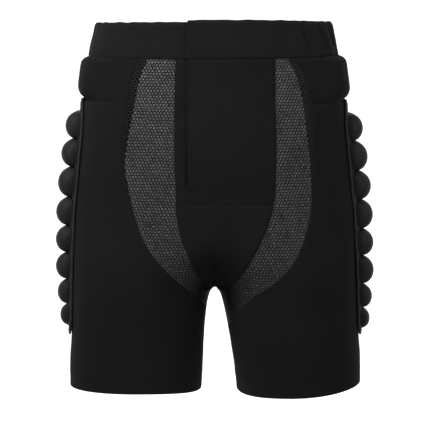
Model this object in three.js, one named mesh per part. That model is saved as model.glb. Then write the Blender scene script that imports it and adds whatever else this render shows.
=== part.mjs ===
// Protective padded shorts, worn under a ski or skating outfit. The shell is sewn from panels of stretch
// cloth, with two curved net strips at the front and an elastic waistband that laps over itself above the
// fly. A foam pad with rows of domed pods is sewn on over each hip.
// Millimetres, +Z up. The front faces -Y and the wearer's left is +X. The origin is the middle of the waist
// opening, at half the waistband's height. drop is always a distance down from the waistband's top edge.
import * as THREE from 'three';

// Lengths from top to bottom
const BAND_HEIGHT = 40;
const RISE = 317;
const INSEAM = 121;
const HIP_PUFF_LENGTH = 48;
const FLY_LENGTH = 136;
const FLY_TO_CROTCH_SEAM = 32;

// Sizes at the waist, the hips and the hems. Widths run side to side. Front and back are depths from the
// side seam
const WAIST_WIDTH = 277;
const WAIST_FRONT = 96;
const WAIST_BACK = 98;
const HIP_WIDTH = 334;
const HIP_FRONT = 106;
const HIP_BACK = 128;
const HEM_WIDTH = 154;
const HEM_GAP = 42;
const HEM_FRONT = 84;
const HEM_BACK = 82;

// Crotch seam: how far above the crotch the front and the back start to part into two legs
const FRONT_CURVE = 120;
const BACK_CURVE = 200;
const FRONT_CURVE_POWER = 2.4;
const BACK_CURVE_POWER = 2.1;
const CROTCH_ROUNDING = 1.8;
const GAP_POWER = 0.44;
const GAP_REACH = 4;

// Cloth
const CLOTH = 2;
const NET = 1.4;
const NET_RECESS = 0.5;
const SEAM_GAP = 0.3;
const NET_TIP = 2;
const HEM_TURN = 1;
const HEM_TURN_HEIGHT = 20;
const HIP_PUFF = 8.6;
const HIP_PUFF_DEPTH = 74;
const HIP_PUFF_FADE = 28;
const SEAM_DIP = 2;
const SEAM_DIP_LENGTH = 70;

// Waistband and fly. The wearer's left front laps over the right one
const BAND_CLOTH = 2.5;
const LAP_EDGE = -29;
const LAP_UNDER_EDGE = 18;
const LAP_CLEARANCE = 0.5;
const LAP_EASE_WIDTH = 55;
const LAP_STEP = 2.5;
const LAP_TAPER = 38;
const GATHERS = 20;
const GATHER_DEPTH = 1.3;
const GATHER_END_X = 78;
const GATHER_START_ANGLE = 0.35;
const GATHER_FADE = 0.06;
const GATHER_AT_SEAM = 0.5;

// Hip pads
const PAD_TOP = 92;
const PAD_LENGTH = 278;
const PAD_WIDTH = 92;
const PAD_MIDDLE_Y = 3;
const PAD_BASE = 3;
const PAD_CLEARANCE = 0.6;
const PAD_FLANGE = 5;
const PAD_CORNER = 5;
const POD_TOP_MARGIN = 13;
const POD_BOTTOM_MARGIN = 8;
const POD_PROUD = 18;
const POD_VALLEY = 6;
const POD_COLUMNS = 3;
const POD_POWER = 2.3;
const BINDING_WIDTH = 3;
const BINDING_HEIGHT = 3.5;

// Outline of the body. rise and inseam place a row, as shares of RISE and INSEAM. In width, front and back,
// 0 is the waist's size, 1 the hip's and 2 the hem's. square and side are the powers of the rounded
// section, at the front and back and at the sides: 2 is an ellipse, and more is squarer
const FORM = [
  { rise: 0.00, inseam: 0.0, width: 0.000, front: 0.00, back: 0.00, square: 2.30, side: 2.4 },
  { rise: 0.04, inseam: 0.0, width: 0.109, front: 0.05, back: 0.04, square: 2.30, side: 2.5 },
  { rise: 0.13, inseam: 0.0, width: 0.345, front: 0.23, back: 0.21, square: 2.30, side: 2.7 },
  { rise: 0.30, inseam: 0.0, width: 0.560, front: 0.60, back: 0.60, square: 2.25, side: 3.2 },
  { rise: 0.39, inseam: 0.0, width: 0.620, front: 0.77, back: 0.80, square: 2.20, side: 3.4 },
  { rise: 0.51, inseam: 0.0, width: 0.775, front: 0.90, back: 0.95, square: 2.20, side: 3.4 },
  { rise: 0.70, inseam: 0.0, width: 1.000, front: 1.00, back: 1.00, square: 2.20, side: 3.4 },
  { rise: 0.85, inseam: 0.0, width: 1.230, front: 1.12, back: 1.20, square: 2.15, side: 3.3 },
  { rise: 1.00, inseam: 0.0, width: 1.420, front: 1.35, back: 1.45, square: 2.10, side: 3.2 },
  { rise: 1.00, inseam: 0.5, width: 1.700, front: 1.70, back: 1.75, square: 2.10, side: 3.0 },
  { rise: 1.00, inseam: 0.7, width: 1.950, front: 1.84, back: 1.86, square: 2.10, side: 2.8 },
  { rise: 1.00, inseam: 1.0, width: 2.000, front: 2.00, back: 2.00, square: 2.10, side: 2.5 },
];

// Edges of the net strips: rise as above, inner and outer as shares of the half width at that row
const NET_EDGES = {
  right: [
    { rise: 0.125, inner: 0.293, outer: 0.592 },
    { rise: 0.195, inner: 0.295, outer: 0.631 },
    { rise: 0.305, inner: 0.297, outer: 0.648 },
    { rise: 0.430, inner: 0.298, outer: 0.668 },
    { rise: 0.530, inner: 0.290, outer: 0.655 },
    { rise: 0.605, inner: 0.275, outer: 0.610 },
    { rise: 0.685, inner: 0.266, outer: 0.563 },
    { rise: 0.785, inner: 0.222, outer: 0.489 },
    { rise: 0.865, inner: 0.161, outer: 0.385 },
    { rise: 0.932, inner: 0.103, outer: 0.267 },
    { rise: 0.995, inner: 0.000, outer: 0.155 },
    { rise: 1.030, inner: 0.000, outer: 0.097 },
    { rise: 1.095, inner: 0.000, outer: 0.030 },
  ],
  left: [
    { rise: 0.125, inner: 0.475, outer: 0.628 },
    { rise: 0.195, inner: 0.466, outer: 0.687 },
    { rise: 0.290, inner: 0.456, outer: 0.712 },
    { rise: 0.410, inner: 0.454, outer: 0.715 },
    { rise: 0.520, inner: 0.442, outer: 0.701 },
    { rise: 0.660, inner: 0.412, outer: 0.678 },
    { rise: 0.750, inner: 0.355, outer: 0.639 },
    { rise: 0.830, inner: 0.284, outer: 0.583 },
    { rise: 0.902, inner: 0.204, outer: 0.495 },
    { rise: 0.958, inner: 0.125, outer: 0.376 },
    { rise: 0.995, inner: 0.000, outer: 0.280 },
    { rise: 1.040, inner: 0.000, outer: 0.195 },
    { rise: 1.086, inner: 0.000, outer: 0.136 },
    { rise: 1.170, inner: 0.000, outer: 0.050 },
  ],
};

// Each side: which way it lies, how far its hem is raised at the front and at the outer side, how much
// farther out its inseam hangs at the hem than half of HEM_GAP, and how much lower its hip pad is sewn on
const SIDES = {
  right: { sign: -1, frontRise: 6, outerRise: 0, inseamShift: -4.5, padDrop: 0 },
  left: { sign: 1, frontRise: 0, outerRise: 11, inseamShift: 4.5, padDrop: 3 },
};

// Profile of the padded hip-bone zone: at is a share of its length, proud a share of HIP_PUFF
const HIP_PUFF_PROFILE = [
  { at: 0.00, proud: 0.20 },
  { at: 0.05, proud: 0.57 },
  { at: 0.15, proud: 0.93 },
  { at: 0.45, proud: 0.98 },
  { at: 0.74, proud: 1.00 },
  { at: 0.84, proud: 0.87 },
  { at: 0.94, proud: 0.50 },
  { at: 1.00, proud: 0.00 },
];

// Pod rows of a hip pad from the top: length compares a row with the others, and proud is a share of
// POD_PROUD
const POD_ROWS = [
  { length: 1.00, proud: 0.80 },
  { length: 1.00, proud: 0.86 },
  { length: 1.00, proud: 0.95 },
  { length: 1.00, proud: 1.00 },
  { length: 1.00, proud: 0.97 },
  { length: 1.00, proud: 0.90 },
  { length: 0.89, proud: 0.72 },
  { length: 0.82, proud: 0.54 },
];

// Outline of a hip pad: at is a share of its length, width a share of its full width
const PAD_OUTLINE = [
  { at: 0.00, width: 0.62 },
  { at: 0.03, width: 0.82 },
  { at: 0.12, width: 0.94 },
  { at: 0.30, width: 1.00 },
  { at: 0.75, width: 1.00 },
  { at: 0.93, width: 0.92 },
  { at: 0.98, width: 0.82 },
  { at: 1.00, width: 0.70 },
];

// Where a pod's surface is sampled, from -1 to 1 across it
const POD_STEPS_DOWN = [-0.88, -0.35, 0.35, 0.88, 1];
const POD_STEPS_ACROSS = [-0.8, 0, 0.8, 1];

const PAD_BACK_COLUMNS = 6;
const BINDING_END_STEPS = [-0.5, 0, 0.5];

// Rows of the cloth panels, as shares of the stretch that each list covers
const PUFF_STEPS = [0, 0.05, 0.15, 0.45, 0.74, 0.87, 0.95, 1];
const FRONT_STEPS = [0.18, 0.38, 0.58, 0.79, 1];
const FLY_FOOT_STEPS = [0.5];
const CROTCH_STEPS = [0, 0.22, 0.43, 0.62, 0.78, 0.89, 0.95, 0.98, 0.995];
const LEG_STEPS = [0, 0.05, 0.12, 0.24, 0.4, 0.6, 0.82];

const CLOTH_BLACK = new THREE.MeshStandardMaterial({ color: 0x1c1c1e, roughness: 0.85, metalness: 0 });
const BAND_BLACK = new THREE.MeshStandardMaterial({ color: 0x202022, roughness: 0.8, metalness: 0 });
const NET_GREY = new THREE.MeshStandardMaterial({ color: 0x46464a, roughness: 0.7, metalness: 0 });
const PAD_BLACK = new THREE.MeshStandardMaterial({ color: 0x29292b, roughness: 0.6, metalness: 0 });
const BINDING_BLACK = new THREE.MeshStandardMaterial({ color: 0x303033, roughness: 0.5, metalness: 0 });

const TOP_Z = BAND_HEIGHT / 2;
const HEM_DROP = RISE + INSEAM;
const PUFF_END = BAND_HEIGHT + HIP_PUFF_LENGTH;
const FLY_END = BAND_HEIGHT + FLY_LENGTH;
const CROTCH_SEAM = FLY_END + FLY_TO_CROTCH_SEAM;
const LAP_LIFT = CLOTH + LAP_CLEARANCE;
const NORMAL_STEP = 0.01;
const NORMAL_DROP_STEP = 1.5;
const HALF_TURN = Math.PI;
const QUARTER_TURN = Math.PI / 2;

const mix = (a, b, share) => a + (b - a) * share;
const clamp = THREE.MathUtils.clamp;
const smooth = (value) => THREE.MathUtils.smoothstep(value, 0, 1);
const signedPower = (value, power) => Math.sign(value) * Math.abs(value) ** power;

// A value from a table at a place between its rows, on a smooth curve through them
function tableValue(rows, placeOf, column, at) {
  const places = rows.map(placeOf);
  const last = rows.length - 1;
  const clamped = clamp(at, places[0], places[last]);
  let i = 0;
  while (i < last - 1 && clamped > places[i + 1]) i += 1;
  const slope = (k) => {
    const low = Math.max(k - 1, 0);
    const high = Math.min(k + 1, last);
    return (rows[high][column] - rows[low][column]) / (places[high] - places[low]);
  };
  const span = places[i + 1] - places[i];
  const s = (clamped - places[i]) / span;
  const rise = s * s * (3 - 2 * s);
  const start = s * (1 - s) ** 2 * span * slope(i);
  const end = s * s * (s - 1) * span * slope(i + 1);
  return mix(rows[i][column], rows[i + 1][column], rise) + start + end;
}

const formDrop = (row) => row.rise * RISE + row.inseam * INSEAM;
const netDrop = (row) => row.rise * RISE;
const sizeAlong = (value, waist, hip, hem) => (value < 1 ? mix(waist, hip, value) : mix(hip, hem, value - 1));

// Half width, depths and roundness of the body at a drop
function formAt(drop) {
  const value = (column) => tableValue(FORM, formDrop, column, drop);
  return {
    width: sizeAlong(value('width'), WAIST_WIDTH / 2, HIP_WIDTH / 2, HEM_GAP / 2 + HEM_WIDTH),
    front: sizeAlong(value('front'), WAIST_FRONT, HIP_FRONT, HEM_FRONT),
    back: sizeAlong(value('back'), WAIST_BACK, HIP_BACK, HEM_BACK),
    square: value('square'),
    side: value('side'),
  };
}

// One leg's section is a rounded loop about centre, with half width half. Above the crotch the plane x = 0
// cuts it, and parting is 0 where the legs are still one and 1 at the crotch
function legLoop(width, drop, isFront) {
  if (drop >= RISE) {
    const gap = (HEM_GAP / 2) * ((drop - RISE) / INSEAM) ** GAP_POWER;
    return { centre: width / 2, half: width / 2, parting: 1, gap };
  }
  const curve = isFront ? FRONT_CURVE : BACK_CURVE;
  const power = isFront ? FRONT_CURVE_POWER : BACK_CURVE_POWER;
  const started = clamp((drop - RISE + curve) / curve, 0, 1) ** power;
  const parting = 1 - (1 - started) ** CROTCH_ROUNDING;
  return { centre: (parting * width) / (1 + parting), half: width / (1 + parting), parting, gap: 0 };
}

// Angles run round a leg: 0 at the side, negative to the front, positive to the back. endAngle is where the
// section meets x = 0, or the inseam below the crotch
function endAngle(drop, isFront) {
  const form = formAt(drop);
  const { parting } = legLoop(form.width, drop, isFront);
  const angle = Math.acos(-(parting ** (form.square / 2)));
  return isFront ? -angle : angle;
}

// The angle at which the front reaches x, found by halving the range that holds it
function frontAngleAtX(x, drop) {
  let inner = endAngle(drop, true);
  let outer = 0;
  for (let i = 0; i < 30; i += 1) {
    const middle = (inner + outer) / 2;
    if (bodyAt(middle, drop).x < x) inner = middle;
    else outer = middle;
  }
  return inner;
}

function sideAngleAtY(y, drop) {
  const form = formAt(drop);
  const depth = y < 0 ? form.front : form.back;
  return Math.asin(signedPower(clamp(y / depth, -1, 1), form.side / 2));
}

// How far the padded hip-bone zone stands out of the smooth body
function hipPuff(angle, drop) {
  const at = (drop - BAND_HEIGHT) / HIP_PUFF_LENGTH;
  if (at < 0 || at > 1) return 0;
  const y = Math.abs(bodyAt(angle, drop).y);
  const fade = smooth((HIP_PUFF_DEPTH - y) / HIP_PUFF_FADE);
  return HIP_PUFF * fade * tableValue(HIP_PUFF_PROFILE, (row) => row.at, 'proud', at);
}

// The smooth body on the +X side, with no puff and level rows
function bodyAt(angle, drop) {
  const form = formAt(drop);
  const isFront = angle < 0;
  const loop = legLoop(form.width, drop, isFront);
  const cosine = Math.cos(angle);
  const power = cosine > 0 ? form.side : form.square;
  const depth = isFront ? form.front : form.back;
  const push = loop.gap * inseamShare(cosine);
  const x = loop.centre + loop.half * signedPower(cosine, 2 / form.square) + push;
  const y = depth * signedPower(Math.sin(angle), 2 / power);
  return new THREE.Vector3(x, y, TOP_Z - drop);
}

function outwardNormal(angle, drop) {
  const isFront = angle < 0;
  const limit = Math.abs(endAngle(drop, isFront));
  const low = Math.max(angle - NORMAL_STEP, -limit);
  const high = Math.min(angle + NORMAL_STEP, limit);
  const across = bodyAt(high, drop).sub(bodyAt(low, drop));
  const down = bodyAt(angle, drop + NORMAL_DROP_STEP).sub(bodyAt(angle, drop - NORMAL_DROP_STEP));
  const normal = down.cross(across);
  if (Math.abs(angle) < limit - NORMAL_STEP) return normal.normalize();
  if (Math.abs(drop - RISE) < SEAM_GAP) return new THREE.Vector3(0, 0, -1);
  normal[drop < RISE ? 'x' : 'y'] = 0;
  return normal.normalize();
}

const hemShare = (drop) => smooth((drop - RISE) / INSEAM);
const inseamShare = (cosine) => ((1 - cosine) / 2) ** GAP_REACH;

// How far a level row is raised: the waist seam dips at the front, and a hem may ride up at the front or
// outside
function raising(side, angle, drop) {
  const frontness = Math.max(0, -Math.sin(angle)) ** 2;
  const outerness = Math.max(0, Math.cos(angle)) ** 2;
  const seam = 1 - Math.min(Math.abs(drop - BAND_HEIGHT) / SEAM_DIP_LENGTH, 1);
  const nearSeam = drop < BAND_HEIGHT ? smooth(drop / BAND_HEIGHT) : smooth(seam);
  const hem = side.frontRise * frontness + side.outerRise * outerness;
  return hemShare(drop) * hem - SEAM_DIP * frontness * nearSeam;
}

// A point of a side's cloth, lift outside the body's surface
function clothPoint(side, angle, drop, lift = 0, puffShare = 1) {
  const point = bodyAt(angle, drop);
  const normal = outwardNormal(angle, drop);
  point.addScaledVector(normal, lift + puffShare * hipPuff(angle, drop));
  point.z += raising(side, angle, drop);
  point.x += side.inseamShift * hemShare(drop) * inseamShare(Math.cos(angle));
  point.x *= side.sign;
  return point;
}

// The same for the front, by x instead of angle, on whichever side x lies
function frontPoint(x, drop, lift = 0) {
  const side = x < 0 ? SIDES.right : SIDES.left;
  return clothPoint(side, frontAngleAtX(Math.abs(x), drop), drop, lift);
}

// A closed sheet between two grids of points, given as rows. The grids may have different numbers of rows
// and columns
function closedSheet(outer, inner) {
  const points = [];
  const faces = [];
  const store = (grid) => grid.map((row) => row.map((point) => points.push(point) - 1));
  const cover = (grid, flipped) => {
    for (let r = 0; r < grid.length - 1; r += 1) {
      for (let c = 0; c < grid[r].length - 1; c += 1) {
        const [a, b, d, e] = [grid[r][c], grid[r][c + 1], grid[r + 1][c + 1], grid[r + 1][c]];
        faces.push(flipped ? [a, d, b] : [a, b, d], flipped ? [a, e, d] : [a, d, e]);
      }
    }
  };
  const borders = (grid) => [
    grid[0],
    grid.map((row) => row[row.length - 1]),
    [...grid[grid.length - 1]].reverse(),
    grid.map((row) => row[0]).reverse(),
  ];
  const outerGrid = store(outer);
  const innerGrid = store(inner);
  cover(outerGrid, false);
  cover(innerGrid, true);
  const innerBorders = borders(innerGrid);
  borders(outerGrid).forEach((border, k) => bridge(border, innerBorders[k], faces));
  return solidFrom(points, faces);
}

// Triangles between two borders that run the same way, whatever their number of points
function bridge(outer, inner, faces) {
  let i = 0;
  let j = 0;
  while (i < outer.length - 1 || j < inner.length - 1) {
    const outerNext = (i + 1) / (outer.length - 1);
    const innerNext = (j + 1) / (inner.length - 1);
    if (j === inner.length - 1 || (i < outer.length - 1 && outerNext <= innerNext)) {
      faces.push([outer[i + 1], outer[i], inner[j]]);
      i += 1;
    } else {
      faces.push([outer[i], inner[j], inner[j + 1]]);
      j += 1;
    }
  }
}

// A closed loop of equal rings, each a list of points
function closedRingLoop(rings) {
  const points = rings.flat();
  const size = rings[0].length;
  const faces = [];
  for (let r = 0; r < rings.length; r += 1) {
    const next = (r + 1) % rings.length;
    for (let c = 0; c < size; c += 1) {
      const d = (c + 1) % size;
      const [a, b, e, f] = [r * size + c, r * size + d, next * size + d, next * size + c];
      faces.push([a, b, e], [a, e, f]);
    }
  }
  return solidFrom(points, faces);
}

// An indexed geometry whose faces point outwards
function solidFrom(points, faces) {
  let volume = 0;
  for (const [a, b, c] of faces) volume += points[a].dot(points[b].clone().cross(points[c]));
  const turned = volume < 0 ? faces.map(([a, b, c]) => [a, c, b]) : faces;
  const geometry = new THREE.BufferGeometry();
  geometry.setAttribute('position', new THREE.Float32BufferAttribute(points.flatMap((p) => p.toArray()), 3));
  geometry.setIndex(turned.flat());
  geometry.computeVertexNormals();
  return geometry;
}

function namedMesh(name, geometry, material) {
  const mesh = new THREE.Mesh(geometry, material.clone());
  mesh.name = name;
  return mesh;
}

// Drops of the panel rows between two drops, ends included
const puffDrops = PUFF_STEPS.map((step) => mix(BAND_HEIGHT, PUFF_END, step));
const frontDrops = FRONT_STEPS.map((step) => mix(PUFF_END, FLY_END, step));
const flyFootDrops = FLY_FOOT_STEPS.map((step) => mix(FLY_END, CROTCH_SEAM, step));
const crotchDrops = CROTCH_STEPS.map((step) => mix(CROTCH_SEAM, RISE, step));
const legDrops = LEG_STEPS.map((step) => mix(RISE, HEM_DROP, step));
const allDrops = [...puffDrops, ...frontDrops, ...flyFootDrops, ...crotchDrops, ...legDrops, HEM_DROP];

function dropsBetween(top, bottom, extra = []) {
  const drops = [...allDrops, ...extra].sort((a, b) => a - b);
  const inside = drops.filter((drop) => drop > top + SEAM_GAP && drop < bottom - SEAM_GAP);
  return [top, ...inside, bottom];
}

const shares = (count) => Array.from({ length: count + 1 }, (_, i) => i / count);

const clothThickness = (drop) => CLOTH + (drop > HEM_DROP - HEM_TURN_HEIGHT ? HEM_TURN : 0);

// A cloth panel on one side, between two edges given as angles for each drop
function sidePanel(side, { top, bottom, from, to, columns, extra, recess = 0, thickness = clothThickness }) {
  const halfGap = (angle, drop) => {
    const step = bodyAt(angle + NORMAL_STEP, drop).distanceTo(bodyAt(angle - NORMAL_STEP, drop));
    return (SEAM_GAP / 2 / step) * 2 * NORMAL_STEP;
  };
  const grid = (depthOf, puffShare) => dropsBetween(top, bottom, extra).map((drop) => {
    const start = from(drop) + halfGap(from(drop), drop);
    const end = to(drop) - halfGap(to(drop), drop);
    return shares(columns).map((share) => (
      clothPoint(side, mix(start, end, share), drop, -depthOf(drop), puffShare)
    ));
  });
  return closedSheet(grid(() => recess, 1), grid((drop) => recess + thickness(drop), 0));
}

const netEdge = (sideName, column) => (drop) => {
  const share = tableValue(NET_EDGES[sideName], netDrop, column, drop);
  const x = share * formAt(drop).width;
  return Math.max(frontAngleAtX(Math.max(x, 0), drop), endAngle(drop, true));
};

const netEnd = (sideName) => netDrop(NET_EDGES[sideName][NET_EDGES[sideName].length - 1]);
const panelTop = BAND_HEIGHT + SEAM_GAP;

function netStrip(sideName) {
  return sidePanel(SIDES[sideName], {
    top: panelTop,
    bottom: netEnd(sideName) - NET_TIP,
    from: (drop) => (drop < RISE ? netEdge(sideName, 'inner')(drop) : endAngle(drop, true)),
    to: netEdge(sideName, 'outer'),
    columns: 3,
    recess: NET_RECESS,
    thickness: () => NET,
  });
}

function frontLegPanel(sideName) {
  const outer = netEdge(sideName, 'outer');
  return sidePanel(SIDES[sideName], {
    top: panelTop,
    bottom: HEM_DROP,
    from: (drop) => (drop < netEnd(sideName) ? outer(drop) : endAngle(drop, true)),
    to: () => 0,
    columns: 7,
    extra: [netEnd(sideName) - NET_TIP, netEnd(sideName)],
  });
}

function backLegPanel(sideName) {
  return sidePanel(SIDES[sideName], {
    top: panelTop,
    bottom: HEM_DROP,
    from: () => 0,
    to: (drop) => endAngle(drop, false),
    columns: 8,
  });
}

// The front between the net strips, by x: edges are functions of drop, and lift of x and drop
function frontPanel({ top, bottom, from, to, columns, lift = () => 0 }) {
  const grid = (depth) => dropsBetween(top, bottom).map((drop) => {
    const start = from(drop) + SEAM_GAP / 2;
    const end = to(drop) - SEAM_GAP / 2;
    return shares(columns).map((share) => {
      const x = mix(start, end, share);
      return frontPoint(x, drop, lift(x, drop) - depth);
    });
  });
  return closedSheet(grid(0), grid(CLOTH));
}

const netInnerX = (sideName) => (drop) => {
  const share = tableValue(NET_EDGES[sideName], netDrop, 'inner', drop);
  return SIDES[sideName].sign * share * formAt(drop).width;
};

// The over panel stands off by the under panel's thickness where the two lap
function lapLift(x, drop) {
  const sideways = smooth((LAP_UNDER_EDGE + LAP_EASE_WIDTH - x) / LAP_EASE_WIDTH);
  return LAP_LIFT * sideways * (1 - smooth((drop - FLY_END) / FLY_TO_CROTCH_SEAM));
}

// The under panel's hidden edge runs straight down and then in to the end of the fly
function underEdge(drop) {
  return mix(LAP_UNDER_EDGE, LAP_EDGE, clamp((drop - FLY_END + LAP_TAPER) / LAP_TAPER, 0, 1));
}

const underFront = () => frontPanel({
  top: panelTop,
  bottom: CROTCH_SEAM - SEAM_GAP / 2,
  from: netInnerX('right'),
  to: underEdge,
  columns: 7,
});

const overFront = () => frontPanel({
  top: panelTop,
  bottom: CROTCH_SEAM - SEAM_GAP / 2,
  from: () => LAP_EDGE,
  to: netInnerX('left'),
  columns: 9,
  lift: lapLift,
});

const crotchPanel = () => frontPanel({
  top: CROTCH_SEAM + SEAM_GAP / 2,
  bottom: mix(CROTCH_SEAM, RISE, CROTCH_STEPS[CROTCH_STEPS.length - 1]),
  from: netInnerX('right'),
  to: netInnerX('left'),
  columns: 8,
});

// The waistband runs from its hidden end round the back to the lap at the front. turn counts down from the
// hidden end: about -90 degrees at the front, -270 at the back and -450 at the front again
function bandPoint(turn, drop, lift) {
  const isLeft = Math.cos(turn) >= 0;
  const wrapped = Math.atan2(Math.sin(turn), Math.cos(turn));
  const angle = isLeft ? wrapped : Math.atan2(Math.sin(turn), -Math.cos(turn));
  return clothPoint(isLeft ? SIDES.left : SIDES.right, angle, drop, lift);
}

const frontTurn = (x) => -QUARTER_TURN + Math.sign(x) * (QUARTER_TURN + frontAngleAtX(Math.abs(x), 0));

function gatherTurns(start, end) {
  const steps = GATHERS * 4;
  return shares(steps).map((share) => mix(start, end, share));
}

function waistband() {
  const hiddenEnd = frontTurn(LAP_UNDER_EDGE);
  const lapEnd = frontTurn(LAP_EDGE) - 2 * HALF_TURN;
  const gatherStart = -HALF_TURN + GATHER_START_ANGLE;
  const gatherEnd = frontTurn(GATHER_END_X) - 2 * HALF_TURN;
  const turns = [
    ...shares(6).map((share) => mix(hiddenEnd, gatherStart, share)).slice(0, -1),
    ...gatherTurns(gatherStart, gatherEnd),
    ...shares(9).map((share) => mix(gatherEnd, lapEnd, share)).slice(1),
  ];
  const easeEnd = frontTurn(LAP_UNDER_EDGE) - 2 * HALF_TURN;
  const easeStart = frontTurn(LAP_UNDER_EDGE + LAP_EASE_WIDTH) - 2 * HALF_TURN;
  const lapShare = (turn) => smooth((easeStart - turn) / (easeStart - easeEnd));
  const gather = (turn, drop) => {
    const along = (turn - gatherStart) / (gatherEnd - gatherStart);
    if (along <= 0 || along >= 1) return 0;
    const ends = Math.min(along, 1 - along, GATHER_FADE) / GATHER_FADE;
    const wave = Math.sin(along * GATHERS * 2 * Math.PI);
    return GATHER_DEPTH * ends * wave * mix(1, GATHER_AT_SEAM, drop / BAND_HEIGHT);
  };
  const edgeRise = (turn, drop) => {
    const nearTop = 1 - smooth(drop / BAND_HEIGHT);
    const over = smooth((-2 * HALF_TURN - turn) / QUARTER_TURN);
    return LAP_STEP * over * nearTop;
  };
  const lapLiftHere = BAND_CLOTH + LAP_CLEARANCE;
  const drops = [0, BAND_HEIGHT / 2, BAND_HEIGHT - SEAM_GAP];
  const grid = (depth) => drops.map((drop) => turns.map((turn) => {
    const lift = lapLiftHere * lapShare(turn) + gather(turn, drop) - depth;
    const point = bandPoint(turn, drop, lift);
    point.z += edgeRise(turn, drop);
    return point;
  }));
  return closedSheet(grid(0), grid(BAND_CLOTH));
}

// A point over a hip pad, by y and by how far down the pad it is
function padPoint(side, y, down, lift) {
  const drop = PAD_TOP + side.padDrop + down;
  return clothPoint(side, sideAngleAtY(y, drop), drop, PAD_CLEARANCE + lift, 0);
}

const padHalfWidth = (down) => (
  (PAD_WIDTH / 2) * tableValue(PAD_OUTLINE, (row) => row.at, 'width', down / PAD_LENGTH)
);

const dome = (step) => (1 - Math.abs(step) ** POD_POWER) ** (1 / POD_POWER);

// Samples of the rows of pods: how far down the pad each is, its share of the dome's height and of the
// valley's, and how proud its pods are
function podRowSamples() {
  const total = POD_ROWS.reduce((sum, row) => sum + row.length, 0);
  const podLength = PAD_LENGTH - POD_TOP_MARGIN - POD_BOTTOM_MARGIN;
  const flat = { dome: 0, valley: 0, proud: 0 };
  const samples = [{ down: 0, ...flat }, { down: PAD_CORNER, ...flat }, { down: POD_TOP_MARGIN, ...flat }];
  let start = POD_TOP_MARGIN;
  for (const row of POD_ROWS) {
    const length = (row.length / total) * podLength;
    for (const step of POD_STEPS_DOWN) {
      const down = start + (length * (step + 1)) / 2;
      samples.push({ down, dome: dome(step), valley: 1, proud: row.proud });
    }
    start += length;
  }
  samples[samples.length - 1].valley = 0;
  samples.push({ down: PAD_LENGTH, ...flat });
  return samples;
}

// Samples of the columns of pods: where each is, from -1 at the front edge to 1 at the back one, and its shares
function podColumnSamples() {
  const flange = (2 * PAD_FLANGE) / PAD_WIDTH;
  const columnWidth = (2 - 2 * flange) / POD_COLUMNS;
  const samples = [{ across: -1, dome: 0, valley: 0 }, { across: -1 + flange, dome: 0, valley: 0 }];
  for (let column = 0; column < POD_COLUMNS; column += 1) {
    for (const step of POD_STEPS_ACROSS) {
      const across = -1 + flange + columnWidth * (column + (step + 1) / 2);
      samples.push({ across, dome: dome(step), valley: 1 });
    }
  }
  samples[samples.length - 1].valley = 0;
  samples.push({ across: 1, dome: 0, valley: 0 });
  return samples;
}

function podHeight(row, column) {
  const valley = POD_VALLEY * Math.min(row.valley, column.valley);
  return valley + (POD_PROUD * row.proud - POD_VALLEY) * row.dome * column.dome;
}

const padY = (across, down) => PAD_MIDDLE_Y + across * padHalfWidth(down);

function hipPad(side) {
  const columns = podColumnSamples();
  const outer = podRowSamples().map((row) => columns.map((column) => (
    padPoint(side, padY(column.across, row.down), row.down, PAD_BASE + podHeight(row, column))
  )));
  const inner = padEdgeDowns().map((down) => shares(PAD_BACK_COLUMNS).map((share) => (
    padPoint(side, padY(2 * share - 1, down), down, 0)
  )));
  return closedSheet(outer, inner);
}

// Where the pad's edge is sampled: each pod's edge and middle, and closer at the corners
function padEdgeDowns() {
  const downs = podRowSamples().map((sample) => sample.down);
  const steps = POD_STEPS_DOWN.length;
  return downs.filter((down, i) => {
    const along = (i - 2) % steps;
    return i < 2 || i >= downs.length - 1 - steps || along === 0 || along === 2;
  });
}

// The bound edge: a flat-sided cord round the pad's outline, just outside it
function padBinding(side) {
  const downs = padEdgeDowns();
  const outline = [
    ...downs.map((down) => ({ y: padY(-1, down), down })),
    ...BINDING_END_STEPS.map((across) => ({ y: padY(across, PAD_LENGTH), down: PAD_LENGTH })),
    ...[...downs].reverse().map((down) => ({ y: padY(1, down), down })),
    ...BINDING_END_STEPS.map((across) => ({ y: padY(-across, 0), down: 0 })),
  ];
  const rings = outline.map((point, i) => {
    const before = outline[(i + outline.length - 1) % outline.length];
    const after = outline[(i + 1) % outline.length];
    const along = new THREE.Vector2(after.y - before.y, after.down - before.down).normalize();
    const corner = (margin, lift) => (
      padPoint(side, point.y - along.y * margin, point.down + along.x * margin, lift)
    );
    const near = SEAM_GAP;
    const far = SEAM_GAP + BINDING_WIDTH;
    return [corner(near, 0), corner(far, 0), corner(far, BINDING_HEIGHT), corner(near, BINDING_HEIGHT)];
  });
  return closedRingLoop(rings);
}

const shorts = new THREE.Group();
shorts.name = 'padded_shorts';
shorts.add(
  namedMesh('waistband', waistband(), BAND_BLACK),
  namedMesh('front_panel_under', underFront(), CLOTH_BLACK),
  namedMesh('front_panel_over', overFront(), CLOTH_BLACK),
  namedMesh('crotch_panel', crotchPanel(), CLOTH_BLACK),
);
for (const [sideName, side] of Object.entries(SIDES)) {
  const half = new THREE.Group();
  half.name = `${sideName}_half`;
  half.add(
    namedMesh(`net_strip_${sideName}`, netStrip(sideName), NET_GREY),
    namedMesh(`front_leg_panel_${sideName}`, frontLegPanel(sideName), CLOTH_BLACK),
    namedMesh(`back_leg_panel_${sideName}`, backLegPanel(sideName), CLOTH_BLACK),
    namedMesh(`hip_pad_${sideName}`, hipPad(side), PAD_BLACK),
    namedMesh(`pad_binding_${sideName}`, padBinding(side), BINDING_BLACK),
  );
  shorts.add(half);
}

export default shorts;
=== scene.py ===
"""Padded hip protection shorts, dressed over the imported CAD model.

The shorts' surface is worked out again here in millimetres, with the same named sizes as the CAD
source, and every mesh is written in metres. The front faces -Y and the wearer's left is +X. A drop
is a distance down from the waistband's top edge.
"""

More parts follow.
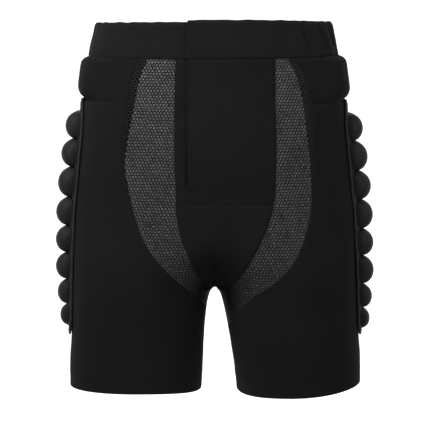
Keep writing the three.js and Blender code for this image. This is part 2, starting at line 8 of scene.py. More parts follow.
import logging
import math
from dataclasses import dataclass, field
from enum import Enum
from typing import Callable, Sequence

import bmesh
import bpy
import numpy as np
from mathutils import Matrix, Vector, noise
from mathutils.bvhtree import BVHTree

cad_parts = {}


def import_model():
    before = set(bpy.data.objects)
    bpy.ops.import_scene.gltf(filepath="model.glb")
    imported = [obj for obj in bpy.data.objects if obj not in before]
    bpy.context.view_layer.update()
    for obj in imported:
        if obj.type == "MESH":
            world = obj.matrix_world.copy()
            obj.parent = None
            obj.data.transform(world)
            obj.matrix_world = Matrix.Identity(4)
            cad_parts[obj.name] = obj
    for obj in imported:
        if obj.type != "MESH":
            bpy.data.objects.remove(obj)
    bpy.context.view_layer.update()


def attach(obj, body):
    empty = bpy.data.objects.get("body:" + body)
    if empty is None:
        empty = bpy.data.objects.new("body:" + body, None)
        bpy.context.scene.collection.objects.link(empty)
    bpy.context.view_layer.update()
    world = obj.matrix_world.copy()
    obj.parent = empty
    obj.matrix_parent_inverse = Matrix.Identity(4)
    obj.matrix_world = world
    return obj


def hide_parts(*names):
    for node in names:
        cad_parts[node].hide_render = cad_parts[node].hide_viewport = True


LOG = logging.getLogger("padded_shorts")
MM = 0.001
FULL_TURN = 2 * math.pi
MERGE_DISTANCE = 0.00001

Array = np.ndarray
EdgeOf = Callable[[Array], Array]
LiftAt = Callable[[Array, Array], Array]
Socket = bpy.types.NodeSocket
Value = float | Socket
Colour = tuple[float, float, float]


class Held(Enum):
    """How a sheet of cloth is held in its shape."""

    STRETCHED = "stretched"


class Slot(Enum):
    """The record's material slots."""

    ELASTIC = "elastic"
    CLOTH = "cloth"
    NET = "net"
    FOAM = "covered_foam"
    BINDING = "binding"


def smooth(value: Array) -> Array:
    """Eases a value from 0 to 1.

    Args:
        value: Any number, read as 0 below 0 and as 1 above 1.

    Returns:
        The eased value.
    """
    v = np.clip(value, 0.0, 1.0)
    return v * v * (3.0 - 2.0 * v)


def signed_power(value: Array, power: Array) -> Array:
    """Raises a size to a power and keeps its sign.

    Args:
        value: The base, of either sign.
        power: The power.

    Returns:
        The signed result.
    """
    return np.sign(value) * np.abs(value) ** power


def mix(a: Array, b: Array, share: Array) -> Array:
    """Gives the value a share of the way from a to b."""
    return a + (b - a) * share


def curve_value(places: Sequence[float], values: Sequence[float], at: Array) -> Array:
    """Reads a table on a smooth curve through its rows.

    Args:
        places: Where each row of the table stands, rising.
        values: The row's values.
        at: The places to read.

    Returns:
        The value at each place.
    """
    p, v = np.asarray(places, float), np.asarray(values, float)
    last = len(p) - 1
    here = np.clip(at, p[0], p[last])
    i = np.searchsorted(p[1:last], here, side="left")
    k = np.arange(len(p))
    low, high = np.maximum(k - 1, 0), np.minimum(k + 1, last)
    slopes = (v[high] - v[low]) / (p[high] - p[low])
    span = p[i + 1] - p[i]
    s = (here - p[i]) / span
    rise = s * s * (3 - 2 * s)
    start = s * (1 - s) ** 2 * span * slopes[i]
    end = s * s * (s - 1) * span * slopes[i + 1]
    return mix(v[i], v[i + 1], rise) + start + end


def dent(at: Array, middle: float, width: float) -> Array:
    """Gives a rounded dent, 1 at its middle and gone a few widths away."""
    return np.exp(-(((at - middle) / width) ** 2))


def soft_noise(points: Array, size: float, seed: float) -> Array:
    """Gives smooth noise at points in space.

    Args:
        points: Places in millimetres, one a row.
        size: The size of the bumps in millimetres.
        seed: An offset that picks another piece of the same noise.

    Returns:
        One value a point, from about -1 to 1.
    """
    shift = Vector((seed, seed * 1.7, seed * 0.6))
    return np.array([noise.noise(Vector(p) / size + shift) for p in points])


@dataclass(frozen=True)
class Side:
    """One side of the shorts, and how it differs from the other."""

    name: str
    sign: float
    front_rise: float
    outer_rise: float
    inseam_shift: float
    pad_drop: float
    net_places: tuple[float, ...]
    net_inner: tuple[float, ...]
    net_outer: tuple[float, ...]
    pod_rows: tuple[float, ...]


RIGHT = Side(
    name="right",
    sign=-1.0,
    front_rise=6.0,
    outer_rise=5.5,
    inseam_shift=-4.5,
    pad_drop=0.0,
    net_places=(
        0.125, 0.195, 0.305, 0.430, 0.530, 0.605, 0.685, 0.785, 0.865, 0.932, 0.995, 1.030, 1.095,
    ),
    net_inner=(0.290, 0.290, 0.290, 0.288, 0.279, 0.268, 0.262, 0.222, 0.161, 0.103, 0.0, 0.0, 0.0),
    net_outer=(
        0.566, 0.616, 0.640, 0.660, 0.647, 0.604, 0.558, 0.487, 0.385, 0.267, 0.155, 0.097, 0.030,
    ),
    pod_rows=(13.0, 46.3, 79.7, 116.0, 149.5, 182.0, 214.2, 244.6, 270.0),
)
LEFT = Side(
    name="left",
    sign=1.0,
    front_rise=0.0,
    outer_rise=8.0,
    inseam_shift=4.5,
    pad_drop=3.0,
    net_places=(
        0.125, 0.195, 0.290, 0.410, 0.520, 0.660, 0.750,
        0.830, 0.902, 0.958, 0.995, 1.040, 1.086, 1.170,
    ),
    net_inner=(
        0.475, 0.466, 0.456, 0.454, 0.442, 0.412, 0.355,
        0.284, 0.204, 0.125, 0.0, 0.0, 0.0, 0.0,
    ),
    net_outer=(
        0.628, 0.687, 0.712, 0.715, 0.701, 0.678, 0.639,
        0.583, 0.495, 0.376, 0.280, 0.195, 0.136, 0.050,
    ),
    pod_rows=(14.0, 47.5, 83.0, 117.5, 152.0, 184.4, 218.7, 248.4, 273.3),
)


@dataclass(frozen=True)
class ShortsForm:
    """The smooth surface of the worn shorts, with the CAD source's sizes in millimetres."""

    band_height: float = 40.0
    rise: float = 317.0
    inseam: float = 121.0
    puff_length: float = 48.0
    waist: tuple[float, float, float] = (277.0 / 2, 96.0, 98.0)
    hip: tuple[float, float, float] = (334.0 / 2, 106.0, 128.0)
    hem: tuple[float, float, float] = (21.0 + 154.0, 84.0, 82.0)
    hem_gap: float = 42.0
    front_curve: tuple[float, float] = (120.0, 2.4)
    back_curve: tuple[float, float] = (200.0, 2.1)
    crotch_rounding: float = 1.8
    gap_power: float = 0.44
    gap_reach: float = 4.0
    puff: float = 8.6
    puff_depth: float = 74.0
    puff_fade: float = 28.0
    seam_dip: float = 2.0
    seam_dip_length: float = 70.0
    seam_gap: float = 0.3
    lap_edge: float = -29.0
    lap_under_edge: float = 18.0
    lap_ease: float = 55.0
    step: float = 0.01
    drop_step: float = 1.5
    rows: tuple[float, ...] = (0.0, 0.04, 0.13, 0.30, 0.39, 0.51, 0.70, 0.85, 1.0, 1.0, 1.0, 1.0)
    leg_rows: tuple[float, ...] = (0.0, 0.0, 0.0, 0.0, 0.0, 0.0, 0.0, 0.0, 0.0, 0.5, 0.7, 1.0)
    widths: tuple[float, ...] = (0.0, 0.109, 0.345, 0.56, 0.62, 0.775, 1.0, 1.23, 1.42, 1.70, 1.95, 2.0)
    fronts: tuple[float, ...] = (0.0, 0.05, 0.23, 0.60, 0.77, 0.90, 1.0, 1.12, 1.35, 1.70, 1.84, 2.0)
    backs: tuple[float, ...] = (0.0, 0.04, 0.21, 0.60, 0.80, 0.95, 1.0, 1.20, 1.45, 1.75, 1.86, 2.0)
    squares: tuple[float, ...] = (2.3, 2.3, 2.3, 2.25, 2.2, 2.2, 2.2, 2.15, 2.1, 2.1, 2.1, 2.1)
    sides: tuple[float, ...] = (2.4, 2.5, 2.7, 3.2, 3.4, 3.4, 3.4, 3.3, 3.2, 3.0, 2.8, 2.5)
    puff_places: tuple[float, ...] = (0.0, 0.05, 0.15, 0.45, 0.74, 0.84, 0.94, 1.0)
    puff_heights: tuple[float, ...] = (0.20, 0.57, 0.93, 0.98, 1.0, 0.87, 0.50, 0.0)

    @property
    def top_z(self) -> float:
        """Height of the waistband's top edge."""
        return self.band_height / 2

    @property
    def hem_drop(self) -> float:
        """Drop of the hems."""
        return self.rise + self.inseam

    def sizes_at(self, drop: Array) -> dict[str, Array]:
        """Gives the body's half width, depths and roundness at drops.

        Args:
            drop: Distances down from the band's top edge.

        Returns:
            The sizes by name, one value a drop.
        """
        places = [r * self.rise + g * self.inseam for r, g in zip(self.rows, self.leg_rows)]

        def size(values: Sequence[float], part: int) -> Array:
            value = curve_value(places, values, drop)
            upper = mix(self.waist[part], self.hip[part], value)
            lower = mix(self.hip[part], self.hem[part], value - 1)
            return np.where(value < 1, upper, lower)

        return {
            "width": size(self.widths, 0),
            "front": size(self.fronts, 1),
            "back": size(self.backs, 2),
            "square": curve_value(places, self.squares, drop),
            "side": curve_value(places, self.sides, drop),
        }

    def leg_loop(
        self, width: Array, drop: Array, is_front: Array
    ) -> tuple[Array, Array, Array, Array]:
        """Places one leg's rounded section.

        Args:
            width: The body's half width.
            drop: Distances down from the band's top edge.
            is_front: Where the front's curve is meant.

        Returns:
            The section's centre, half width, how far the legs have parted, and their gap.
        """
        curve = np.where(is_front, self.front_curve[0], self.back_curve[0])
        power = np.where(is_front, self.front_curve[1], self.back_curve[1])
        started = np.clip((drop - self.rise + curve) / curve, 0, 1) ** power
        parting = 1 - (1 - started) ** self.crotch_rounding
        below = np.clip((drop - self.rise) / self.inseam, 0, None)
        gap = self.hem_gap / 2 * below**self.gap_power
        return parting * width / (1 + parting), width / (1 + parting), parting, gap

    def end_angle(self, drop: Array, is_front: bool) -> Array:
        """Gives the angle where a leg's section meets the middle, or the inseam.

        Args:
            drop: Distances down from the band's top edge.
            is_front: Whether the front's middle is meant.

        Returns:
            The angle, negative at the front.
        """
        drop = np.asarray(drop, float)
        sizes = self.sizes_at(drop)
        parting = self.leg_loop(sizes["width"], drop, np.full(drop.shape, is_front))[2]
        angle = np.arccos(-(parting ** (sizes["square"] / 2)))
        return -angle if is_front else angle

    def body_at(self, angle: Array, drop: Array) -> Array:
        """Gives points of the smooth body on the +X side.

        Args:
            angle: Angles round the leg, 0 at the side seam and negative at the front.
            drop: Distances down from the band's top edge.

        Returns:
            The points, with x, y and z last.
        """
        angle, drop = np.broadcast_arrays(np.asarray(angle, float), np.asarray(drop, float))
        sizes = self.sizes_at(drop)
        is_front = angle < 0
        centre, half, _, gap = self.leg_loop(sizes["width"], drop, is_front)
        cosine = np.cos(angle)
        power = np.where(cosine > 0, sizes["side"], sizes["square"])
        depth = np.where(is_front, sizes["front"], sizes["back"])
        push = gap * ((1 - cosine) / 2) ** self.gap_reach
        x = centre + half * signed_power(cosine, 2 / sizes["square"]) + push
        y = depth * signed_power(np.sin(angle), 2 / power)
        return np.stack([x, y, self.top_z - drop], axis=-1)

    def front_angle_at(self, x: Array, drop: Array) -> Array:
        """Gives the angle at which the front reaches x, by halving the range that holds it.

        Args:
            x: Distances from the middle, on the +X side.
            drop: Distances down from the band's top edge.

        Returns:
            The angles.
        """
        x, drop = np.broadcast_arrays(np.asarray(x, float), np.asarray(drop, float))
        inner, outer = self.end_angle(drop, True), np.zeros(drop.shape)
        for _ in range(30):
            middle = (inner + outer) / 2
            less = self.body_at(middle, drop)[..., 0] < x
            inner, outer = np.where(less, middle, inner), np.where(less, outer, middle)
        return inner

    def side_angle_at(self, y: Array, drop: Array) -> Array:
        """Gives the angle at which the side reaches y.

        Args:
            y: Places from front to back, negative at the front.
            drop: Distances down from the band's top edge.

        Returns:
            The angles.
        """
        sizes = self.sizes_at(drop)
        depth = np.where(y < 0, sizes["front"], sizes["back"])
        return np.arcsin(signed_power(np.clip(y / depth, -1, 1), sizes["side"] / 2))

    def puff_at(self, side: Side, angle: Array, drop: Array) -> Array:
        """Gives how far the padded hip-bone zone stands out of the body.

        Args:
            side: The side of the shorts, whose zone is longer by its pad's extra drop.
            angle: Angles round the leg.
            drop: Distances down from the band's top edge.

        Returns:
            The height of the padding, one value a point.
        """
        at = (drop - self.band_height) / (self.puff_length + side.pad_drop)
        y = np.abs(self.body_at(angle, drop)[..., 1])
        fade = smooth((self.puff_depth - y) / self.puff_fade)
        height = self.puff * fade * curve_value(self.puff_places, self.puff_heights, at)
        return np.where((at < 0) | (at > 1), 0.0, height)

    def normal_at(self, angle: Array, drop: Array) -> Array:
        """Gives the surface's outward directions on the +X side.

        Args:
            angle: Angles round the leg.
            drop: Distances down from the band's top edge.

        Returns:
            Unit vectors, with x, y and z last.
        """
        angle, drop = np.broadcast_arrays(np.asarray(angle, float), np.asarray(drop, float))
        front_limit, back_limit = -self.end_angle(drop, True), self.end_angle(drop, False)
        limit = np.where(angle < 0, front_limit, back_limit)
        low = np.maximum(angle - self.step, -limit)
        high = np.minimum(angle + self.step, limit)
        across = self.body_at(high, drop) - self.body_at(low, drop)
        lower, upper = drop + self.drop_step, drop - self.drop_step
        down = self.body_at(angle, lower) - self.body_at(angle, upper)
        normal = np.cross(down, across)
        at_edge = np.abs(angle) >= limit - self.step
        normal[..., 0] = np.where(at_edge & (drop < self.rise), 0.0, normal[..., 0])
        normal[..., 1] = np.where(at_edge & (drop >= self.rise), 0.0, normal[..., 1])
        at_crotch = at_edge & (np.abs(drop - self.rise) < self.seam_gap)
        normal = np.where(at_crotch[..., None], np.array([0.0, 0.0, -1.0]), normal)
        return normal / np.maximum(np.linalg.norm(normal, axis=-1, keepdims=True), 1e-9)

    def hem_share(self, drop: Array) -> Array:
        """Gives how much of the hem's own moves a drop takes."""
        return smooth((drop - self.rise) / self.inseam)

    def raise_at(self, side: Side, angle: Array, drop: Array) -> Array:
        """Gives how far a level row is raised.

        Args:
            side: The side of the shorts.
            angle: Angles round the leg.
            drop: Distances down from the band's top edge.

        Returns:
            The raising, one value a point.
        """
        frontness = np.maximum(0, -np.sin(angle)) ** 2
        outerness = np.maximum(0, np.cos(angle)) ** 2
        seam = 1 - np.minimum(np.abs(drop - self.band_height) / self.seam_dip_length, 1)
        near = np.where(drop < self.band_height, smooth(drop / self.band_height), smooth(seam))
        hem = side.front_rise * frontness + side.outer_rise * outerness
        return self.hem_share(drop) * hem - self.seam_dip * frontness * near

    def cloth_at(
        self, side: Side, angle: Array, drop: Array, lift: Array = 0.0, puff_share: float = 1.0
    ) -> Array:
        """Gives points of a side's cloth.

        Args:
            side: The side of the shorts.
            angle: Angles round the leg.
            drop: Distances down from the band's top edge.
            lift: How far outside the body's surface the points lie.
            puff_share: How much of the hip-bone zone's padding lies under them.

        Returns:
            The points, with x, y and z last.
        """
        angle, drop = np.broadcast_arrays(np.asarray(angle, float), np.asarray(drop, float))
        point = self.body_at(angle, drop)
        rise = np.asarray(lift) + puff_share * self.puff_at(side, angle, drop)
        point = point + self.normal_at(angle, drop) * np.broadcast_to(rise, drop.shape)[..., None]
        point[..., 2] += self.raise_at(side, angle, drop)
        inward = ((1 - np.cos(angle)) / 2) ** self.gap_reach
        point[..., 0] += side.inseam_shift * self.hem_share(drop) * inward
        point[..., 0] *= side.sign
        return point

    def front_at(self, x: Array, drop: Array, lift: Array = 0.0) -> Array:
        """Gives points of the front's cloth by x, on whichever side x lies.

        Args:
            x: Distances from the middle, negative on the wearer's right.
            drop: Distances down from the band's top edge.
            lift: How far outside the body's surface the points lie.

        Returns:
            The points, with x, y and z last.
        """
        x, drop = np.broadcast_arrays(np.asarray(x, float), np.asarray(drop, float))
        angle = self.front_angle_at(np.abs(x), drop)
        right = self.cloth_at(RIGHT, angle, drop, lift)
        left = self.cloth_at(LEFT, angle, drop, lift)
        return np.where((x < 0)[..., None], right, left)

    def net_edge(self, side: Side, shares: Sequence[float], drop: Array) -> Array:
        """Gives the angle of a net strip's edge.

        Args:
            side: The side of the shorts.
            shares: The edge's column of the side's table.
            drop: Distances down from the band's top edge.

        Returns:
            The angles.
        """
        x = self.net_edge_x(side, shares, drop)
        return np.maximum(self.front_angle_at(np.maximum(x, 0), drop), self.end_angle(drop, True))

    def net_edge_x(self, side: Side, shares: Sequence[float], drop: Array) -> Array:
        """Gives the same edge as a distance from the middle."""
        places = [p * self.rise for p in side.net_places]
        return curve_value(places, shares, drop) * self.sizes_at(drop)["width"]

    def net_end(self, side: Side) -> float:
        """Gives the drop of a net strip's lower tip."""
        return side.net_places[-1] * self.rise


FORM = ShortsForm()


def add_object(name: str, mesh: bpy.types.Mesh) -> bpy.types.Object:
    """Puts a mesh in the scene as an object at the origin."""
    obj = bpy.data.objects.new(name, mesh)
    bpy.context.scene.collection.objects.link(obj)
    return obj


def mesh_object(
    name: str, points: Array, faces: Array | list, uvs: Array | None = None, is_smooth: bool = True
) -> bpy.types.Object:
    """Builds an object from points in millimetres.

    Args:
        name: The object's name.
        points: The places of the vertices, one a row.
        faces: Lists of vertex numbers.
        uvs: A flat place for each vertex in metres, for a weave that follows the cloth.
        is_smooth: Whether the faces are shaded smooth.

    Returns:
        The new object, in metres, at the origin.
    """
    mesh = bpy.data.meshes.new(name)
    mesh.from_pydata((np.asarray(points) * MM).tolist(), [], [list(map(int, f)) for f in faces])
    if uvs is not None:
        layer = mesh.uv_layers.new(name="cloth")
        corners = np.empty(len(mesh.loops), int)
        mesh.loops.foreach_get("vertex_index", corners)
        layer.data.foreach_set("uv", np.asarray(uvs, float)[corners].ravel())
    mesh.validate()
    mesh.polygons.foreach_set("use_smooth", [is_smooth] * len(mesh.polygons))
    mesh.update()
    return add_object(name, mesh)


def grid_faces(rows: int, columns: int, start: int, flipped: bool) -> Array:
    """Gives the four-sided faces of a grid of vertices.

    Args:
        rows: Vertices down.
        columns: Vertices across.
        start: The number of the first vertex.
        flipped: Whether the faces turn the other way.

    Returns:
        One row of four vertex numbers a face.
    """
    index = start + np.arange(rows * columns).reshape(rows, columns)
    a, b, c, d = index[:-1, :-1], index[:-1, 1:], index[1:, 1:], index[1:, :-1]
    order = (a, d, c, b) if flipped else (a, b, c, d)
    return np.stack([part.ravel() for part in order], axis=1)


def closed_sheet(name: str, outer: Array, inner: Array, uvs: Array) -> bpy.types.Object:
    """Builds a closed thin sheet between two grids of the same shape.

    Args:
        name: The object's name.
        outer: The outside grid, rows by columns by three.
        inner: The inside grid.
        uvs: The flat places of the grid in metres, rows by columns by two.

    Returns:
        The object, its faces outwards.
    """
    rows, columns = outer.shape[:2]
    count = rows * columns
    points = np.concatenate([outer.reshape(-1, 3), inner.reshape(-1, 3)])
    faces = [grid_faces(rows, columns, 0, False), grid_faces(rows, columns, count, True)]
    index = np.arange(count).reshape(rows, columns)
    border = np.concatenate([index[0, :-1], index[:-1, -1], index[-1, :0:-1], index[:0:-1, 0]])
    after = np.roll(border, -1)
    faces.append(np.stack([after, border, border + count, after + count], axis=1))
    every = np.concatenate(faces)
    if signed_volume(points, every) < 0:
        every = every[:, ::-1]
    flat = np.concatenate([uvs.reshape(-1, 2)] * 2)
    return mesh_object(name, points, every, flat)


def signed_volume(points: Array, faces: Array) -> float:
    """Gives six times the volume inside four-sided faces, negative where they face inwards."""
    a, b, c, d = (points[faces[:, k]] for k in range(4))
    return float((a * np.cross(b, c)).sum() + (a * np.cross(c, d)).sum())


def arc_lengths(points: Array) -> Array:
    """Gives the distance along each row of a grid from its first point."""
    steps = np.linalg.norm(np.diff(points, axis=1), axis=-1)
    return np.concatenate([np.zeros((len(points), 1)), np.cumsum(steps, axis=1)], axis=1)


def round_steps(start: float, end: float, count: int) -> Array:
    """Gives places from start to end in steps that are short at both ends, for a round dome."""
    return mix(start, end, (1 - np.cos(np.linspace(0, math.pi, count + 1))) / 2)


def close_shares(
    length: float, step: float, edge_steps: Sequence[float] = (0.5, 1.2, 2.2)
) -> Array:
    """Gives places across a stretch of cloth, closer together at its two edges.

    Args:
        length: The stretch's length.
        step: The spacing away from the edges.
        edge_steps: Extra places in from each edge.

    Returns:
        Shares from 0 to 1.
    """
    count = max(int(round((length - 2 * edge_steps[-1]) / step)), 2)
    inner = np.linspace(edge_steps[-1], length - edge_steps[-1], count + 1)
    ends = np.array([0.0, *edge_steps[:-1]])
    return np.concatenate([ends, inner, length - ends[::-1]]) / length


class NodeMaker:
    """A node tree, and a short call that adds a node to it."""

    tree: bpy.types.NodeTree

    def node(self, kind: str, inputs: dict | None = None, **settings: object) -> bpy.types.Node:
        """Adds a node.

        Args:
            kind: The node's type.
            inputs: Input values or sockets to link, by name or number.
            **settings: The node's own properties.

        Returns:
            The node.
        """
        made = self.tree.nodes.new(kind)
        for key, value in settings.items():
            setattr(made, key, value)
        for key, value in (inputs or {}).items():
            if isinstance(value, Socket):
                self.tree.links.new(value, made.inputs[key])
            else:
                made.inputs[key].default_value = value
        return made


class NodeSheet(NodeMaker):
    """A material's node tree, with short calls for its nodes."""

    def __init__(self, name: str) -> None:
        """Starts a material with a Principled shader.

        Args:
            name: The material's name.
        """
        self.material = bpy.data.materials.new(name)
        self.material.use_nodes = True
        self.tree = self.material.node_tree
        self.shader = self.tree.nodes["Principled BSDF"]

    def math(self, operation: str, a: Value, b: Value = 0.0, c: Value = 0.0) -> Socket:
        """Adds a Math node and gives its result."""
        return self.node("ShaderNodeMath", {0: a, 1: b, 2: c}, operation=operation).outputs[0]

    def noise(self, vector: Socket, scale: float, detail: float = 3.0) -> Socket:
        """Adds a Noise node and gives its factor."""
        inputs = {"Vector": vector, "Scale": scale, "Detail": detail, "Roughness": 0.55}
        return self.node("ShaderNodeTexNoise", inputs).outputs["Fac"]

    def mixed(self, share: Socket, first: Socket | Colour, second: Colour) -> Socket:
        """Adds a colour Mix node.

        Args:
            share: How much of the second colour shows.
            first: The first colour, or a socket that gives it.
            second: The second colour.

        Returns:
            The mixed colour.
        """
        start = first if isinstance(first, Socket) else (*first, 1.0)
        inputs = {0: share, 6: start, 7: (*second, 1.0)}
        return self.node("ShaderNodeMix", inputs, data_type="RGBA").outputs[2]

    def spread(self, value: Socket, ends: tuple[float, float], to: tuple[float, float]) -> Socket:
        """Adds a Map Range node from two ends to two new ones, and gives its result."""
        inputs = {0: value, 1: ends[0], 2: ends[1], 3: to[0], 4: to[1]}
        return self.node("ShaderNodeMapRange", inputs).outputs[0]

    def bump(self, height: Socket, distance: float) -> None:
        """Feeds a height into the shader's normal.

        Args:
            height: The height's socket, about 0 to 1.
            distance: What a height of 1 stands for, in metres.
        """
        inputs = {"Height": height, "Distance": distance, "Strength": 1.0}
        made = self.node("ShaderNodeBump", inputs)
        self.tree.links.new(made.outputs[0], self.shader.inputs["Normal"])

    def colour(self, socket: Socket) -> None:
        """Links a colour to the shader."""
        self.tree.links.new(socket, self.shader.inputs["Base Color"])

    def set(self, **values: float) -> None:
        """Sets the shader's own inputs, each named with _ for a space."""
        for key, value in values.items():
            self.shader.inputs[key.replace("_", " ")].default_value = value


@dataclass(frozen=True)
class FabricFinish:
    """A cloth with a knitted or woven surface, its pattern laid on the piece's own flat map."""

    name: str
    dark: Colour
    light: Colour
    wale: float
    course: float
    relief: float
    roughness: float
    specular: float
    sheen: float
    sheen_roughness: float = 0.5
    zigzag: float = 0.35
    mottle: float = 14.0
    # Painted shade: how strongly the low channels marked by the hollow attribute are darkened, and the
    # share of the dark colour they fall to.
    hollow: float = 0.0
    hollow_shade_share: float = 0.2
    fine: float = 420.0
    fine_share: float = 0.35
    blend_ends: tuple[float, float] = (0.12, 0.72)
    uneven: float = 0.05

    def material(self) -> bpy.types.Material:
        """Builds the material.

        Returns:
            The new material.
        """
        sheet = NodeSheet(self.name)
        flat = sheet.node("ShaderNodeUVMap", uv_map="cloth").outputs[0]
        where = sheet.node("ShaderNodeTexCoord").outputs["Object"]
        split = sheet.node("ShaderNodeSeparateXYZ", {0: flat})
        across = sheet.math("MULTIPLY", split.outputs[0], 1 / self.wale)
        along = sheet.math("MULTIPLY", split.outputs[1], 1 / self.course)
        swing = sheet.math("PINGPONG", along, 0.5)
        lean = sheet.math("MULTIPLY_ADD", swing, 2 * self.zigzag, across)
        loops = sheet.math("ABSOLUTE", sheet.math("SINE", sheet.math("MULTIPLY", lean, math.pi)))
        rows = sheet.math("ABSOLUTE", sheet.math("SINE", sheet.math("MULTIPLY", along, math.pi)))
        height = sheet.math("MULTIPLY", loops, sheet.math("MULTIPLY_ADD", rows, 0.5, 0.5))
        sheet.bump(height, self.relief)
        patches = sheet.noise(where, self.mottle)
        fine = sheet.noise(where, self.fine, 2.0)
        broad = sheet.math("MULTIPLY", patches, 1 - self.fine_share)
        blend = sheet.math("MULTIPLY_ADD", fine, self.fine_share, broad)
        # Random tone, darkened where the knit's relief is low between loops: real tone plus painted
        # shade in the loops' dips.
        tone_and_loop_shade = sheet.math("MULTIPLY", blend, sheet.math("MULTIPLY_ADD", height, 0.5, 0.6))
        colour = sheet.mixed(sheet.spread(tone_and_loop_shade, self.blend_ends, (0.0, 1.0)), self.dark, self.light)
        # Painted shade: darker where the hollow attribute marks the low channels between pods.
        if self.hollow:
            low = sheet.node("ShaderNodeAttribute", attribute_name="hollow").outputs["Fac"]
            painted_shade = tuple(value * self.hollow_shade_share for value in self.dark)
            colour = sheet.mixed(sheet.math("MULTIPLY", low, self.hollow), colour, painted_shade)
        sheet.colour(colour)
        highest = min(self.roughness + self.uneven, 1.0)
        rough = sheet.spread(patches, (0.3, 0.7), (self.roughness - self.uneven, highest))
        sheet.tree.links.new(rough, sheet.shader.inputs["Roughness"])
        sheet.set(
            Specular_IOR_Level=self.specular,
            Sheen_Weight=self.sheen,
            Sheen_Roughness=self.sheen_roughness,
        )
        return sheet.material


@dataclass(frozen=True)
class YarnFinish:
    """Thread or net yarn, too narrow for a pattern of its own."""

    name: str
    dark: Colour
    light: Colour
    roughness: float
    specular: float
    patch: float = 900.0
    # fade: painted shade, the yarn darker towards its lower end.
    fade: float = 0.0
    # tip: painted shade, how far the yarn darkens towards the gap between the legs at the crotch;
    # painted_shade is that dark colour.
    tip: float = 0.0
    painted_shade: Colour = (0.012, 0.0118, 0.0124)
    broad: float = 60.0
    fine_share: float = 0.7
    low_shade_heights: tuple[float, float] = (-0.28, -0.06)
    gap_shade_height: float = -0.300
    gap_shade_squash: float = 0.7
    gap_shade_reach: tuple[float, float] = (0.018, 0.046)
    twist: float = 2600.0
    relief: float = 0.00012
    sheen: float = 0.02

    def material(self) -> bpy.types.Material:
        """Builds the material.

        Returns:
            The new material.
        """
        sheet = NodeSheet(self.name)
        where = sheet.node("ShaderNodeTexCoord").outputs["Object"]
        fine = sheet.noise(where, self.patch, 2.0)
        broad = sheet.math("MULTIPLY", sheet.noise(where, self.broad, 2.0), 1 - self.fine_share)
        blend = sheet.math("MULTIPLY_ADD", fine, self.fine_share, broad)
        across, _, height = sheet.node("ShaderNodeSeparateXYZ", {0: where}).outputs
        # Painted shade: darker towards the bottom.
        low_shade = sheet.spread(height, self.low_shade_heights, (-self.fade, 0.0))
        share = sheet.math("ADD", sheet.spread(blend, (0.3, 0.7), (0.0, 1.0)), low_shade)
        share = sheet.math("MAXIMUM", share, 0.0)
        colour = sheet.mixed(share, self.dark, self.light)
        # Painted shade: the colour darkens towards the gap between the legs below the crotch.
        if self.tip:
            below = sheet.math("ADD", height, -self.gap_shade_height)
            below = sheet.math("MULTIPLY", below, self.gap_shade_squash)
            square = sheet.math("MULTIPLY", below, below)
            square = sheet.math("MULTIPLY_ADD", across, across, square)
            near = sheet.spread(sheet.math("SQRT", square), self.gap_shade_reach, (self.tip, 0.0))
            colour = sheet.mixed(near, colour, self.painted_shade)
        sheet.colour(colour)
        sheet.bump(sheet.noise(where, self.twist, 1.0), self.relief)
        sheet.set(
            Roughness=self.roughness, Specular_IOR_Level=self.specular, Sheen_Weight=self.sheen
        )
        return sheet.material


KNIT = FabricFinish(
    name="black_stretch_knit",
    dark=(0.0062, 0.0060, 0.0064),
    light=(0.0114, 0.0110, 0.0119),
    wale=0.0009,
    course=0.0011,
    relief=0.00016,
    roughness=0.86,
    specular=0.04,
    sheen=0.01,
)
ELASTIC = FabricFinish(
    name="black_ribbed_elastic",
    dark=(0.0062, 0.0060, 0.0065),
    light=(0.0116, 0.0112, 0.0121),
    wale=0.0016,
    course=0.0012,
    relief=0.00022,
    roughness=0.84,
    specular=0.05,
    sheen=0.02,
    zigzag=0.0,
    mottle=22.0,
)
POD_COVER = FabricFinish(
    name="black_satin_pod_cover",
    dark=(0.0108, 0.0106, 0.0113),
    light=(0.0216, 0.0212, 0.0224),
    wale=0.0008,
    course=0.0008,
    relief=0.00012,
    roughness=0.52,
    specular=0.10,
    sheen=0.02,
    sheen_roughness=0.4,
    zigzag=0.5,
    mottle=45.0,
    # Painted shade in the channels between the pods.
    hollow=0.7,
)
TAPE = FabricFinish(
    name="black_binding_tape",
    dark=(0.012, 0.012, 0.0125),
    light=(0.024, 0.0235, 0.025),
    wale=0.0011,
    course=0.0009,
    relief=0.00020,
    roughness=0.58,
    specular=0.22,
    sheen=0.05,
    zigzag=0.0,
    mottle=60.0,
)
NET_YARN = YarnFinish(
    name="black_net_yarn",
    dark=(0.0064, 0.0062, 0.0066),
    light=(0.0150, 0.0147, 0.0155),
    roughness=0.55,
    specular=0.10,
    # Painted shade towards the gap between the legs.
    tip=0.9,
    painted_shade=(0.0058, 0.0056, 0.0060),
)
LINING_YARN = YarnFinish(
    name="grey_lining_yarn",
    dark=(0.050, 0.049, 0.052),
    light=(0.240, 0.236, 0.248),
    roughness=0.6,
    specular=0.20,
    patch=360.0,
    # Painted shade, darker towards the lower end.
    fade=0.18,
    # Painted shade towards the gap between the legs.
    tip=0.92,
    painted_shade=(0.0100, 0.0098, 0.0103),
)
THREAD = YarnFinish(
    name="black_sewing_thread",
    dark=(0.0068, 0.0066, 0.0070),
    light=(0.0125, 0.0122, 0.0128),
    roughness=0.6,
    specular=0.06,
    patch=500.0,
)


class Finishes:
    """Every material of the shorts, each built once."""

    def __init__(self) -> None:
        """Builds the materials."""
        self.knit = KNIT.material()
        self.elastic = ELASTIC.material()
        self.pod_cover = POD_COVER.material()
        self.tape = TAPE.material()
        self.lining_yarn = LINING_YARN.material()
        self.net_yarn = NET_YARN.material()
        self.thread = THREAD.material()


